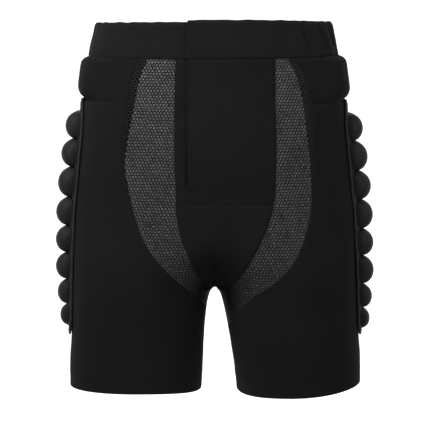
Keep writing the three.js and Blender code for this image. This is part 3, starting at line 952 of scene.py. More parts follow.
def dress(obj: bpy.types.Object, material: bpy.types.Material) -> bpy.types.Object:
    """Gives an object its one material."""
    obj.data.materials.clear()
    obj.data.materials.append(material)
    return obj


def enter(obj: bpy.types.Object, slot: Slot, *nodes: str) -> None:
    """Hands a finished piece to the frame.

    Args:
        obj: The piece.
        slot: The record's slot that its finish comes from; not used.
        *nodes: The CAD nodes that it stands for.
    """
    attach(obj, "root")
    if nodes:
        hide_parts(*nodes)
    LOG.info("%s: %d faces", obj.name, len(obj.data.polygons))


class GeometryTree(NodeMaker):
    """A Geometry Nodes tree with named inputs, and a way to bake it onto a mesh."""

    def __init__(self, name: str, sizes: dict[str, float]) -> None:
        """Starts a tree.

        Args:
            name: The tree's name.
            sizes: Its number inputs with their default values.
        """
        self.tree = bpy.data.node_groups.new(name, "GeometryNodeTree")
        face = self.tree.interface
        face.new_socket("Geometry", in_out="INPUT", socket_type="NodeSocketGeometry")
        for key, value in sizes.items():
            socket = face.new_socket(key, in_out="INPUT", socket_type="NodeSocketFloat")
            socket.default_value = value
        face.new_socket("Material", in_out="INPUT", socket_type="NodeSocketMaterial")
        face.new_socket("Geometry", in_out="OUTPUT", socket_type="NodeSocketGeometry")
        self.input = self.tree.nodes.new("NodeGroupInput")
        self.output = self.tree.nodes.new("NodeGroupOutput")

    def size(self, name: str) -> Socket:
        """Gives one of the tree's named inputs."""
        return self.input.outputs[name]

    def finish(self, geometry: Socket) -> None:
        """Ends the tree with real geometry and its material."""
        real = self.node("GeometryNodeRealizeInstances", {0: geometry}).outputs[0]
        inputs = {"Geometry": real, "Material": self.size("Material")}
        coloured = self.node("GeometryNodeSetMaterial", inputs).outputs[0]
        self.tree.links.new(coloured, self.output.inputs[0])

    def bake(
        self, obj: bpy.types.Object, material: bpy.types.Material, **sizes: float
    ) -> bpy.types.Object:
        """Runs the tree on an object's mesh and keeps the result as that mesh.

        Args:
            obj: The object that holds the start mesh.
            material: The material of the result.
            **sizes: Values of named inputs, with _ for a space.

        Returns:
            The same object, with the made mesh and no modifier.
        """
        modifier = obj.modifiers.new("tree", "NODES")
        modifier.node_group = self.tree
        named = {key.replace("_", " "): value for key, value in sizes.items()}
        for item in self.tree.interface.items_tree:
            if item.item_type != "SOCKET" or item.in_out != "INPUT":
                continue
            if item.name == "Material":
                modifier[item.identifier] = material
            elif item.name in named:
                modifier[item.identifier] = float(named[item.name])
        graph = bpy.context.evaluated_depsgraph_get()
        graph.update()
        made = bpy.data.meshes.new_from_object(obj.evaluated_get(graph), depsgraph=graph)
        obj.modifiers.remove(modifier)
        old = obj.data
        obj.data = made
        bpy.data.meshes.remove(old)
        made.name = obj.name
        return obj


class NetTree(GeometryTree):
    """Opens a hole in every cell of a triangle mesh's dual, which leaves a net of flat strands."""

    def __init__(self) -> None:
        """Builds the tree."""
        super().__init__("open_net", {"Hole share": 0.62, "Yarn": 0.0005})
        cells = self.node(
            "GeometryNodeDualMesh", {"Mesh": self.size("Geometry"), "Keep Boundaries": True}
        ).outputs[0]
        inset = self.node(
            "GeometryNodeExtrudeMesh",
            {"Mesh": cells, "Offset Scale": 0.0, "Individual": True},
            mode="FACES",
        )
        scaled = self.node(
            "GeometryNodeScaleElements",
            {
                "Geometry": inset.outputs[0],
                "Selection": inset.outputs["Top"],
                "Scale": self.size("Hole share"),
            },
            domain="FACE",
        )
        holes = self.node(
            "GeometryNodeDeleteGeometry",
            {"Geometry": scaled.outputs[0], "Selection": inset.outputs["Top"]},
            domain="FACE",
        ).outputs[0]
        merged = self.merged(holes)
        thick = self.node(
            "GeometryNodeExtrudeMesh",
            {"Mesh": merged, "Offset Scale": self.size("Yarn"), "Individual": False},
            mode="FACES",
        ).outputs[0]
        back = self.node("GeometryNodeFlipFaces", {"Mesh": merged}).outputs[0]
        joined = self.node("GeometryNodeJoinGeometry")
        self.tree.links.new(thick, joined.inputs[0])
        self.tree.links.new(back, joined.inputs[0])
        self.finish(self.merged(joined.outputs[0]))

    def merged(self, geometry: Socket) -> Socket:
        """Joins the vertices that lie in one place."""
        inputs = {"Geometry": geometry, "Distance": MERGE_DISTANCE}
        return self.node("GeometryNodeMergeByDistance", inputs).outputs[0]


class StitchTree(GeometryTree):
    """Lays rounded stitches end to end along the edges of a mesh."""

    def __init__(self) -> None:
        """Builds the tree."""
        super().__init__("stitch_row", {"Pitch": 0.0032, "Length": 0.0024, "Width": 0.0007})
        line = self.node("GeometryNodeMeshToCurve", {"Mesh": self.size("Geometry")}).outputs[0]
        spacing = {"Curve": line, "Length": self.size("Pitch")}
        spaced = self.node("GeometryNodeResampleCurve", spacing, mode="LENGTH").outputs[0]
        ball = {"Segments": 6, "Rings": 4, "Radius": 0.5}
        bead = self.node("GeometryNodeMeshUVSphere", ball).outputs[0]
        shaded = self.node("GeometryNodeSetShadeSmooth", {0: bead}).outputs[0]
        tangent = self.node("GeometryNodeInputTangent").outputs[0]
        turned = self.node(
            "FunctionNodeAlignRotationToVector", {"Vector": tangent}, axis="X"
        ).outputs[0]
        sizes = self.node(
            "ShaderNodeCombineXYZ",
            {0: self.size("Length"), 1: self.size("Width"), 2: self.size("Width")},
        ).outputs[0]
        placed = self.node(
            "GeometryNodeInstanceOnPoints",
            {"Points": spaced, "Instance": shaded, "Rotation": turned, "Scale": sizes},
        ).outputs[0]
        self.finish(placed)


@dataclass
class ClothPanels:
    """The stretch cloth of the front, crotch and legs."""

    finishes: Finishes
    thickness: float = 2.0
    hem_turn: float = 1.0
    hem_height: float = 20.0
    row_step: float = 2.2
    column_step: float = 2.6
    seam_depth: float = 0.95
    seam_width: float = 1.7
    pucker: float = 0.28
    pucker_length: float = 11.0
    pucker_reach: float = 9.0
    ripple: float = 0.55
    ripple_size: float = 46.0
    ripple_middle: float = 0.55
    small_ripple: float = 0.25
    small_ripple_size: float = 24.0
    small_ripple_squash: float = 2.2
    highest_ripple: float = 0.3
    calm_width: float = 12.0
    probe_steps: int = 25
    fly_end: float = 176.0
    crotch_seam: float = 208.0
    lap_taper: float = 38.0
    lap_lift: float = 2.5
    crotch_end: float = 0.995
    crease_x: float = 111.0
    crease_off: float = 2.5
    crease_fade: float = 7.0
    crease_depth: float = 2.0
    crease_width: float = 2.0
    groove_depth: float = 1.7
    groove_off: float = 1.6
    groove_width: float = 1.7
    groove_end: float = 4.0
    groove_fade: float = 16.0
    inside_lift: float = -1.5
    pieces: dict[str, bpy.types.Object] = field(default_factory=dict)

    def build(self) -> None:
        """Builds and hands over every cloth panel."""
        for side in (RIGHT, LEFT):
            self.front_leg(side)
            self.back_leg(side)
        self.front_under()
        self.front_over()
        self.crotch()

    def drops(self, top: float, bottom: float) -> Array:
        """Gives a panel's rows, closer at its two ends."""
        return top + (bottom - top) * close_shares(bottom - top, self.row_step)

    def surface(
        self,
        place: Callable[[Array, Array], Array],
        start: Array,
        end: Array,
        drop: Array,
        seams: Sequence[float],
        seed: float,
        relief: LiftAt | None = None,
        from_last: bool = False,
    ) -> tuple[Array, Array, Array]:
        """Works out the outside and inside grids of a panel.

        Args:
            place: Gives the panel's points for grids of across value and lift.
            start: The across value at the first edge, one a row.
            end: The across value at the last edge.
            drop: The rows' drops.
            seams: How tightly the first edge, last edge, top and bottom are sewn, from 0 to 1.
            seed: Picks the panel's own ripples.
            relief: A crease or groove of the panel's own, by x and drop.
            from_last: Whether the knit's pattern is laid from the last edge.

        Returns:
            The outside grid, the inside grid and the flat places.
        """
        evenly = np.linspace(0, 1, self.probe_steps)[None]
        probe = place(mix(start[:, None], end[:, None], evenly), 0.0)
        width = float(arc_lengths(probe)[:, -1].max())
        shares = close_shares(width, self.column_step)
        across = mix(start[:, None], end[:, None], shares[None])
        bare = place(across, 0.0)
        run = arc_lengths(bare)
        fall = np.broadcast_to(drop[:, None], run.shape)
        ends = (run, run[:, -1:] - run, fall - drop[0], drop[-1] - fall)
        lift = np.zeros(run.shape)
        flat_points = bare.reshape(-1, 3)
        crimp = soft_noise(flat_points, self.pucker_length, seed + 3.1).reshape(run.shape)
        for tight, distance in zip(seams, ends):
            lift -= tight * self.seam_depth * dent(distance, 0.0, self.seam_width)
            lift += tight * self.pucker * crimp * np.exp(-distance / self.pucker_reach)
        calm = smooth(np.minimum.reduce([*ends]) / self.calm_width)
        ripples = soft_noise(flat_points, self.ripple_size, seed).reshape(run.shape)
        squashed = flat_points * np.array([1.0, 1.0, self.small_ripple_squash])
        small = soft_noise(squashed, self.small_ripple_size, seed + 9.0).reshape(run.shape)
        lift += calm * self.ripple * (ripples - self.ripple_middle + self.small_ripple * small)
        lift = np.minimum(lift, self.highest_ripple)
        if relief is not None:
            lift += relief(bare[..., 0], fall)
        is_hem = fall > FORM.hem_drop - self.hem_height
        thick = self.thickness + np.where(is_hem, self.hem_turn, 0.0)
        outer, inner = place(across, lift), place(across, -thick)
        laid = run - run[:, -1:] if from_last else run
        flat = np.stack([laid * MM, fall * MM], axis=-1)
        return outer, inner, flat

    def add(
        self,
        name: str,
        grids: tuple[Array, Array, Array],
        node: str,
        flat: tuple[float, float],
        area: float,
    ) -> bpy.types.Object:
        """Args:
            name: The piece's name.
            grids: Its outside grid, inside grid and flat places.
            node: The CAD node that it stands for.
            flat: The cut cloth's width and length in metres; not used.
            area: The cut cloth's area in square metres; not used.

        Returns:
            The piece.
        """
        obj = dress(closed_sheet(name, *grids), self.finishes.knit)
        enter(obj, Slot.CLOTH, node)
        self.pieces[name] = obj
        return obj

    def leg_grids(
        self,
        side: Side,
        start: EdgeOf,
        end: EdgeOf,
        seams: Sequence[float],
        seed: float,
        relief: LiftAt | None = None,
    ) -> tuple[Array, Array, Array]:
        """Works out a leg panel's grids between two edges given as angles.

        Args:
            side: The side of the shorts.
            start: The first edge's angle for each drop.
            end: The last edge's angle.
            seams: How tightly the first edge, last edge, top and bottom are sewn, from 0 to 1.
            seed: Picks the panel's own ripples.
            relief: A crease or groove of the panel's own, by x and drop.

        Returns:
            The outside grid, the inside grid and the flat places.
        """
        drop = self.drops(FORM.band_height, FORM.hem_drop)

        def place(across: Array, lift: Array) -> Array:
            is_inside = np.all(np.asarray(lift) < self.inside_lift)
            return FORM.cloth_at(side, across, drop[:, None], lift, 0.0 if is_inside else 1.0)

        from_last = relief is not None
        return self.surface(place, start(drop), end(drop), drop, seams, seed, relief, from_last)

    def front_leg(self, side: Side) -> None:
        """Builds one front leg panel, from the net strip to the side seam."""
        net_end = FORM.net_end(side)

        def start(drop: Array) -> Array:
            along_net = FORM.net_edge(side, side.net_outer, drop)
            return np.where(drop < net_end, along_net, FORM.end_angle(drop, True))

        def crease(x: Array, drop: Array) -> Array:
            line = FORM.band_height + FORM.puff_length + side.pad_drop + self.crease_off
            out = smooth((np.abs(x) - self.crease_x) / self.crease_fade)
            return -self.crease_depth * out * dent(drop, line, self.crease_width)

        seams = (1.0, 1.0, 1.0, 0.0)
        grids = self.leg_grids(side, start, np.zeros_like, seams, 4.0 + side.sign, crease)
        name = f"front_leg_cloth_{side.name}"
        self.add(name, grids, f"front_leg_panel_{side.name}", flat=(0.215, 0.40), area=0.062)

    def back_leg(self, side: Side) -> None:
        """Builds one back leg panel, from the side seam to the centre back and the inseam."""

        def end(drop: Array) -> Array:
            return FORM.end_angle(drop, False)

        grids = self.leg_grids(side, np.zeros_like, end, (1.0, 1.0, 1.0, 0.0), 11.0 + side.sign)
        name = f"back_leg_cloth_{side.name}"
        self.add(name, grids, f"back_leg_panel_{side.name}", flat=(0.275, 0.40), area=0.094)

    def front_grids(
        self,
        top: float,
        bottom: float,
        start: EdgeOf,
        end: EdgeOf,
        seams: Sequence[float],
        seed: float,
        extra: LiftAt | None = None,
        relief: LiftAt | None = None,
    ) -> tuple[Array, Array, Array]:
        """Works out a front panel's grids between two edges given as x.

        Args:
            top: The drop of its upper edge.
            bottom: The drop of its lower edge.
            start: The first edge's x for each drop.
            end: The last edge's x.
            seams: How tightly the first edge, last edge, top and bottom are sewn, from 0 to 1.
            seed: Picks the panel's own ripples.
            extra: How far it stands off at an x and a drop.
            relief: A crease or groove of the panel's own, by x and drop.

        Returns:
            The outside grid, the inside grid and the flat places.
        """
        drop = self.drops(top, bottom)

        def place(across: Array, lift: Array) -> Array:
            more = 0.0 if extra is None else extra(across, drop[:, None])
            return FORM.front_at(across, drop[:, None], lift + more)

        return self.surface(place, start(drop), end(drop), drop, seams, seed, relief)

    def net_inner_x(self, side: Side) -> EdgeOf:
        """Gives the x of a net strip's inner edge for each drop."""
        return lambda drop: side.sign * FORM.net_edge_x(side, side.net_inner, drop)

    def lap_off(self, x: Array, drop: Array) -> Array:
        """Gives how far the over panel stands off the under panel."""
        sideways = smooth((FORM.lap_under_edge + FORM.lap_ease - x) / FORM.lap_ease)
        below_fly = smooth((drop - self.fly_end) / (self.crotch_seam - self.fly_end))
        return self.lap_lift * sideways * (1 - below_fly)

    def under_edge(self, drop: Array) -> Array:
        """Gives the x of the under panel's hidden edge."""
        share = np.clip((drop - self.fly_end + self.lap_taper) / self.lap_taper, 0, 1)
        return mix(FORM.lap_under_edge, FORM.lap_edge, share)

    def front_under(self) -> None:
        """Builds the right front panel, whose edge lies under the lap."""

        def groove(x: Array, drop: Array) -> Array:
            below_fly = smooth((drop - self.fly_end - self.groove_end) / self.groove_fade)
            depth = self.groove_depth * (1 - below_fly)
            return -depth * dent(x, FORM.lap_edge - self.groove_off, self.groove_width)

        grids = self.front_grids(
            FORM.band_height,
            self.crotch_seam,
            self.net_inner_x(RIGHT),
            self.under_edge,
            seams=(1.0, 0.0, 1.0, 0.4),
            seed=21.0,
            relief=groove,
        )
        self.add("front_under_cloth", grids, "front_panel_under", flat=(0.07, 0.17), area=0.0085)

    def front_over(self) -> None:
        """Builds the left front panel, which laps over the right one."""

        def edge(drop: Array) -> Array:
            return np.full(drop.shape, FORM.lap_edge)

        grids = self.front_grids(
            FORM.band_height,
            self.crotch_seam,
            edge,
            self.net_inner_x(LEFT),
            seams=(0.0, 1.0, 1.0, 0.4),
            seed=27.0,
            extra=self.lap_off,
        )
        self.add("front_over_cloth", grids, "front_panel_over", flat=(0.10, 0.17), area=0.0165)

    def crotch(self) -> None:
        """Builds the front gusset, from the seam below the fly to the crotch."""
        grids = self.front_grids(
            self.crotch_seam,
            mix(self.crotch_seam, FORM.rise, self.crotch_end),
            self.net_inner_x(RIGHT),
            self.net_inner_x(LEFT),
            seams=(1.0, 1.0, 0.4, 0.0),
            seed=33.0,
        )
        self.add("crotch_cloth", grids, "crotch_panel", flat=(0.12, 0.13), area=0.0086)


@dataclass
class NetStrips:
    """The open net at the front of each leg, over its mesh lining."""

    finishes: Finishes
    tree: NetTree
    pitch: float = 3.8
    hole: float = 0.69
    uneven: float = 0.19
    lean: float = 0.13
    seed: int = 7
    yarn: float = 0.38
    recess: float = 0.55
    lining_pitch: float = 2.9
    lining_hole: float = 0.27
    lining_yarn: float = 0.4
    lining_depth: float = 1.35
    open_band: float = 9.0
    open_band_start: float = 60.0
    open_band_end: float = 215.0
    tip: float = 2.0
    leg_radius: float = 150.0
    row_samples: int = 160
    most_cells: int = 80
    edge_margin: float = 0.55

    def build(self) -> None:
        """Builds and hands over both strips."""
        for side in (RIGHT, LEFT):
            self.net(side)
            self.lining(side)

    def edges(self, side: Side, drop: Array) -> tuple[Array, Array]:
        """Gives the angles of a strip's two edges, which meet the panels beside it."""
        along_net = FORM.net_edge(side, side.net_inner, drop)
        inner = np.where(drop < FORM.rise, along_net, FORM.end_angle(drop, True))
        return inner, FORM.net_edge(side, side.net_outer, drop)

    def net(self, side: Side) -> None:
        """Builds one strip's net."""
        obj = self.cells(f"net_{side.name}", side, self.pitch, self.recess, False)
        self.tree.bake(obj, self.finishes.net_yarn, Hole_share=self.hole, Yarn=-self.yarn * MM)
        turn_outwards(obj)
        enter(obj, Slot.NET, f"net_strip_{side.name}")

    def cells(
        self, name: str, side: Side, pitch: float, depth: float, leaves_band: bool
    ) -> bpy.types.Object:
        """Builds the triangle mesh whose corners are the middles of a net's cells.

        Args:
            name: The object's name.
            side: The side of the shorts.
            pitch: The spacing of the cells.
            depth: How far inside the body's surface it lies.
            leaves_band: Whether it stops short of the strip's outer edge at the top.

        Returns:
            The object.
        """
        spacing = pitch * math.sqrt(3) / 2
        top, bottom = FORM.band_height, FORM.net_end(side) - self.tip
        drops = np.linspace(top, bottom, int((bottom - top) / spacing) + 1)
        chance = np.random.default_rng(self.seed + int(side.sign) + int(leaves_band))
        rows, points = [], []
        for k, drop in enumerate(drops):
            angles = self.row_angles(side, float(drop), k, pitch, leaves_band)
            rows.append(list(range(len(points), len(points) + len(angles))))
            uneven = chance.uniform(-self.uneven, self.uneven, (2, len(angles))) * pitch
            uneven[:, [0, -1]] = 0.0
            uneven[1] *= 0 < k < len(drops) - 1
            turned = angles + uneven[0] / self.leg_radius
            placed = FORM.cloth_at(side, turned, drop + uneven[1], -depth, 1.0)
            points.extend(placed.tolist())
        places = np.array(points)
        faces = []
        for upper, lower in zip(rows, rows[1:]):
            faces.extend(self.zip_rows(places, upper, lower))
        if side.sign > 0:
            faces = [face[::-1] for face in faces]
        return mesh_object(name, places, faces, is_smooth=False)

    def row_angles(self, side: Side, drop: float, k: int, pitch: float, leaves_band: bool) -> Array:
        """Gives the angles of one row of cell middles, with both edges.

        Args:
            side: The side of the shorts.
            drop: The row's drop.
            k: The row's number, as every second row is shifted by half a cell.
            pitch: The spacing of the cells.
            leaves_band: Whether the row stops short of the strip's outer edge at the top.

        Returns:
            The angles from the inner edge to the outer one.
        """
        inner, outer = (float(edge[0]) for edge in self.edges(side, np.array([drop])))
        middle = float(FORM.end_angle(np.array([drop]), True)[0])
        fine = np.linspace(middle, outer, self.row_samples)
        line = FORM.body_at(fine, np.full(fine.shape, drop))[None]
        run = arc_lengths(line)[0]
        start, end = float(np.interp(inner, fine, run)), float(run[-1])
        if leaves_band:
            band_length = self.open_band_end - self.open_band_start
            share = float(smooth((drop - self.open_band_start) / band_length))
            end = max(end - self.open_band * (1 - share), start + pitch)
        shift = (k % 2) / 2 + self.lean * k
        margin = self.edge_margin * pitch
        first = math.ceil((start + margin) / pitch - shift)
        places = (np.arange(first, first + self.most_cells) + shift) * pitch
        places = places[places < end - margin]
        return np.interp(np.concatenate([[start], places, [end]]), run, fine)

    def zip_rows(
        self, places: Array, upper: list[int], lower: list[int]
    ) -> list[tuple[int, int, int]]:
        """Joins two rows of points with triangles, each time by the shorter edge.

        Args:
            places: All the points.
            upper: The upper row's point numbers.
            lower: The lower row's.

        Returns:
            The triangles.
        """
        i = j = 0
        faces = []
        while i < len(upper) - 1 or j < len(lower) - 1:
            up = down = math.inf
            if i < len(upper) - 1:
                up = float(np.linalg.norm(places[upper[i + 1]] - places[lower[j]]))
            if j < len(lower) - 1:
                down = float(np.linalg.norm(places[upper[i]] - places[lower[j + 1]]))
            if up <= down:
                faces.append((upper[i], upper[i + 1], lower[j]))
                i += 1
            else:
                faces.append((upper[i], lower[j + 1], lower[j]))
                j += 1
        return faces

    def lining(self, side: Side) -> None:
        """Builds the finer mesh under one strip's net, which stops short of its outer edge."""
        name = f"net_lining_{side.name}"
        obj = self.cells(name, side, self.lining_pitch, self.lining_depth, True)
        sizes = {"Hole_share": self.lining_hole, "Yarn": -self.lining_yarn * MM}
        self.tree.bake(obj, self.finishes.lining_yarn, **sizes)
        turn_outwards(obj)
        enter(obj, Slot.NET)


def turn_outwards(obj: bpy.types.Object) -> None:
    """Makes a closed mesh's faces point outwards."""
    work = bmesh.new()
    work.from_mesh(obj.data)
    bmesh.ops.recalc_face_normals(work, faces=work.faces)
    work.to_mesh(obj.data)
    work.free()


@dataclass
class Waistband:
    """The elastic band, which runs from its hidden end round the back to the lap at the front."""

    finishes: Finishes
    cloth: float = 2.5
    row_step: float = 2.4
    edge_steps: tuple[float, float, float] = (0.4, 1.0, 1.9)
    columns: int = 520
    lap_clearance: float = 0.5
    lap_step: float = 2.5
    flutter: float = 0.2
    flutter_waves: tuple[int, int] = (41, 23)
    gathers: int = 20
    gather_depth: float = 1.3
    gather_end_x: float = 78.0
    gather_start: float = -math.pi + 0.35
    gather_fade: float = 0.06
    gather_at_seam: float = 0.5
    crease_fade: float = 0.03
    crease_stretch: float = 0.35
    crease_size: float = 6.5
    crease_depth: float = 0.55
    wave_size: float = 34.0
    wave_depth: float = 0.35
    fold_start: float = 90.0
    fold_length: float = 10.5
    fold_lean: float = 0.45
    fold_depth: float = 1.1
    fold_end: float = 36.0
    fold_fades: tuple[float, float, float] = (12.0, 18.0, 12.0)
    # Depth, drop and width of the dents at the top edge, the waist seam and the two sewn rows.
    dents: tuple[tuple[float, float, float], ...] = (
        (1.5, 0.0, 2.0),
        (0.8, 40.0, 1.3),
        (0.35, 34.0, 1.0),
        (0.30, 5.5, 0.9),
    )

    def build(self) -> bpy.types.Object:
        """Builds the band and hands it over.

        Returns:
            The piece.
        """
        drop = close_shares(FORM.band_height, self.row_step, self.edge_steps) * FORM.band_height
        start = self.front_turn(FORM.lap_under_edge)
        end = self.front_turn(FORM.lap_edge) - FULL_TURN
        turns = np.linspace(start, end, self.columns)
        grid_turn, grid_drop = np.meshgrid(turns, drop)
        bare = self.place(grid_turn, grid_drop, 0.0)
        run = arc_lengths(bare)
        folds = self.folds(grid_turn, grid_drop, bare)
        outer = self.place(grid_turn, grid_drop, folds)
        inner = self.place(grid_turn, grid_drop, self.gather(grid_turn, grid_drop) - self.cloth)
        flat = np.stack([run * MM, grid_drop * MM], axis=-1)
        obj = dress(closed_sheet("waistband_elastic", outer, inner, flat), self.finishes.elastic)
        enter(obj, Slot.ELASTIC, "waistband")
        return obj

    def front_turn(self, x: float) -> float:
        """Gives the turn at which the band's front reaches x."""
        angle = float(FORM.front_angle_at(np.array([abs(x)]), np.array([0.0]))[0])
        return -math.pi / 2 + math.copysign(1.0, x) * (math.pi / 2 + angle)

    def place(self, turn: Array, drop: Array, lift: Array) -> Array:
        """Gives points of the band.

        Args:
            turn: Where round the waist, counting down from the hidden end.
            drop: Distances down from the band's top edge.
            lift: How far outside the body's surface the points lie.

        Returns:
            The points.
        """
        is_left = np.cos(turn) >= 0
        angle = np.where(
            is_left, np.arctan2(np.sin(turn), np.cos(turn)), np.arctan2(np.sin(turn), -np.cos(turn))
        )
        ease_end = self.front_turn(FORM.lap_under_edge) - FULL_TURN
        ease_start = self.front_turn(FORM.lap_under_edge + FORM.lap_ease) - FULL_TURN
        eased = smooth((ease_start - turn) / (ease_start - ease_end))
        lap = (self.cloth + self.lap_clearance) * eased
        left = FORM.cloth_at(LEFT, angle, drop, lift + lap)
        right = FORM.cloth_at(RIGHT, angle, drop, lift + lap)
        point = np.where(is_left[..., None], left, right)
        near_top = 1 - smooth(drop / FORM.band_height)
        over = smooth((-FULL_TURN - turn) / (math.pi / 2))
        wavy = sum(self.flutter * np.sin(turn * waves) for waves in self.flutter_waves)
        point[..., 2] += near_top * (self.lap_step * over + wavy)
        return point

    def along_gathers(self, turn: Array) -> Array:
        """Gives how far along the gathered stretch a turn lies, from 0 to 1."""
        end = self.front_turn(self.gather_end_x) - FULL_TURN
        return (turn - self.gather_start) / (end - self.gather_start)

    def gather(self, turn: Array, drop: Array) -> Array:
        """Gives the depth of the gathers that the CAD's band has."""
        along = self.along_gathers(turn)
        ends = np.clip(np.minimum(along, 1 - along), 0, self.gather_fade) / self.gather_fade
        wave = np.sin(along * self.gathers * FULL_TURN)
        fade = mix(1.0, self.gather_at_seam, drop / FORM.band_height)
        return self.gather_depth * ends * wave * fade

    def folds(self, turn: Array, drop: Array, bare: Array) -> Array:
        """Gives the outside's relief: gathers, a soft top edge and the groove above the waist seam.

        Args:
            turn: Where round the waist.
            drop: Distances down from the band's top edge.
            bare: The band's smooth points.

        Returns:
            The lift of each point.
        """
        along = self.along_gathers(turn)
        near = smooth(np.minimum(along, 1 - along) / self.crease_fade)
        upright = bare * np.array([1.0, 1.0, self.crease_stretch])
        creases = soft_noise(upright.reshape(-1, 3), self.crease_size, 5.0).reshape(turn.shape)
        lift = self.gather(turn, drop) + near * self.crease_depth * creases
        broad = soft_noise(bare.reshape(-1, 3), self.wave_size, 8.0).reshape(turn.shape)
        lift += (1 - near) * self.wave_depth * (broad - 0.3)
        x = bare[..., 0]
        phase = (x - self.fold_start - self.fold_lean * drop) / self.fold_length * FULL_TURN
        across, forward, upward = self.fold_fades
        at_front = smooth((x - self.fold_start) / across) * smooth(-bare[..., 1] / forward)
        at_front = at_front * smooth((self.fold_end - drop) / upward)
        lift += self.fold_depth * at_front * (np.sin(phase) + 0.4 * np.sin(2.3 * phase + 1.0))
        for depth, middle, width in self.dents:
            lift -= depth * dent(drop, middle, width)
        return lift


@dataclass
class HipPads:
    """The pads of domed foam pods and their bound edges, one over each hip."""

    finishes: Finishes
    top: float = 92.0
    length: float = 278.0
    width: float = 92.0
    middle_y: float = 3.0
    base: float = 3.0
    clearance: float = 0.6
    flange: float = 5.0
    proud: float = 17.6
    valley: float = 0.3
    columns: int = 3
    power: float = 2.05
    corner: float = 2.35
    slant: tuple[float, float] = (0.0, 0.12)
    slant_fades: tuple[float, float] = (20.0, 26.0)
    valley_edge: float = 2.2
    dome_steps: int = 12
    row_prouds: tuple[float, ...] = (0.90, 1.0, 1.03, 0.97, 0.945, 0.895, 0.73, 0.515)
    outline_places: tuple[float, ...] = (0.0, 0.03, 0.12, 0.30, 0.75, 0.93, 0.98, 1.0)
    outline_widths: tuple[float, ...] = (0.62, 0.82, 0.94, 1.0, 1.0, 0.92, 0.82, 0.70)
    pressure: float = 4000.0
    cover_mass: float = 0.02
    stretch: float = 0.5
    bend: float = 0.001
    quality: int = 6
    frames: int = 20
    swell: float = 1.8
    hollow_shade_height: float = 7.5
    sewn_height: float = 11.0
    binding_width: float = 2.2
    binding_height: float = 2.7
    binding_step: float = 2.2
    binding_sides: int = 12
    binding_square: float = 0.6
    binding_rounds: int = 3
    pieces: dict[str, bpy.types.Object] = field(default_factory=dict)

    def build(self) -> None:
        """Builds and hands over both pads and their bound edges."""
        for side in (RIGHT, LEFT):
            self.pad(side)
            self.binding(side)

    @property
    def flange_share(self) -> float:
        """The flat border's width, as a share of half the pad's."""
        return 2 * self.flange / self.width

    def half_width(self, down: Array) -> Array:
        """Gives half the pad's width at distances down it."""
        shares = curve_value(self.outline_places, self.outline_widths, down / self.length)
        return self.width / 2 * shares

    def place(self, side: Side, y: Array, down: Array, lift: Array) -> Array:
        """Gives points over a pad.

        Args:
            side: The side of the shorts.
            y: Places from front to back.
            down: Distances down from the pad's top.
            lift: How far outside the pad's back the points lie.

        Returns:
            The points.
        """
        drop = self.top + side.pad_drop + down
        return FORM.cloth_at(side, FORM.side_angle_at(y, drop), drop, self.clearance + lift, 0.0)

    def slanted(self, y: Array, down: Array) -> Array:
        """Gives the pods' places down the pad once their rows hang lower towards the back."""
        upper, lower = self.slant_fades
        fade = smooth(down / upper) * smooth((self.length - down) / lower)
        return down + mix(*self.slant, down / self.length) * fade * (y - self.middle_y)

    def dome(self, across: Array, down: Array) -> Array:
        """Gives a dome's height at places from -1 to 1 each way, over a base with round corners."""
        reach = (np.abs(across) ** self.corner + np.abs(down) ** self.corner) ** (1 / self.corner)
        return (1 - np.clip(reach, 0, 1) ** self.power) ** (1 / self.power)

    def heights(self, side: Side, across: Array, down: Array) -> Array:
        """Gives the height of the pods over the pad's base.

        Args:
            side: The side of the shorts, which has its own rows of pods.
            across: Places from -1 at the front edge to 1 at the back one.
            down: Distances down from the pad's top.

        Returns:
            The heights.
        """
        edges = np.array(side.pod_rows)
        row = np.clip(np.searchsorted(edges, down, side="right") - 1, 0, len(edges) - 2)
        step_down = 2 * (down - edges[row]) / (edges[row + 1] - edges[row]) - 1
        flange = self.flange_share
        place = (across + 1 - flange) / (2 - 2 * flange) * self.columns
        column = np.clip(np.floor(place), 0, self.columns - 1)
        step_across = 2 * (place - column) - 1
        prouds = np.array(self.row_prouds)[row]
        into_down = np.minimum(down - edges[0], edges[-1] - down)
        pod_width = (self.width - 2 * self.flange) / self.columns
        into_across = np.minimum(place, self.columns - place) * pod_width
        edge = smooth(np.minimum(into_down, into_across) / self.valley_edge)
        body = (self.proud * prouds - self.valley) * self.dome(step_across, step_down)
        inside = (into_down > 0) & (into_across > 0)
        return np.where(inside, self.valley * edge + body, 0.0)

    def samples(self, start: float, edges: Sequence[float], end: float, before: int) -> Array:
        """Gives the pad's vertices along one way, close together beside the channels.

        Args:
            start: The pad's edge.
            edges: The edges of the pods.
            end: The pad's other edge.
            before: How many vertices lie in the border before the first pod.

        Returns:
            The places of the vertices.
        """
        parts = [np.linspace(start, edges[0], before)[:-1]]
        parts += [round_steps(a, b, self.dome_steps)[:-1] for a, b in zip(edges, edges[1:])]
        parts.append(np.linspace(edges[-1], end, 4))
        return np.concatenate(parts)

    def pad(self, side: Side) -> None:
        """Builds one pad, whose domes swell under pressure between the held channels."""
        flange = self.flange_share
        columns = np.linspace(-1 + flange, 1 - flange, self.columns + 1)
        across, down = np.meshgrid(
            self.samples(-1, columns, 1, 4), self.samples(0, side.pod_rows, self.length, 6)
        )
        y = self.middle_y + across * self.half_width(down)
        heights = self.heights(side, across, down)
        outer = self.place(side, y, self.slanted(y, down), self.base + heights)
        inner = self.place(side, y, self.slanted(y, down), np.zeros(y.shape))
        run = arc_lengths(inner)
        flat = np.stack([run * MM, down * MM], axis=-1)
        obj = closed_sheet(f"hip_pad_cover_{side.name}", outer, inner, flat)
        free = smooth((heights - self.valley) / self.sewn_height).ravel()
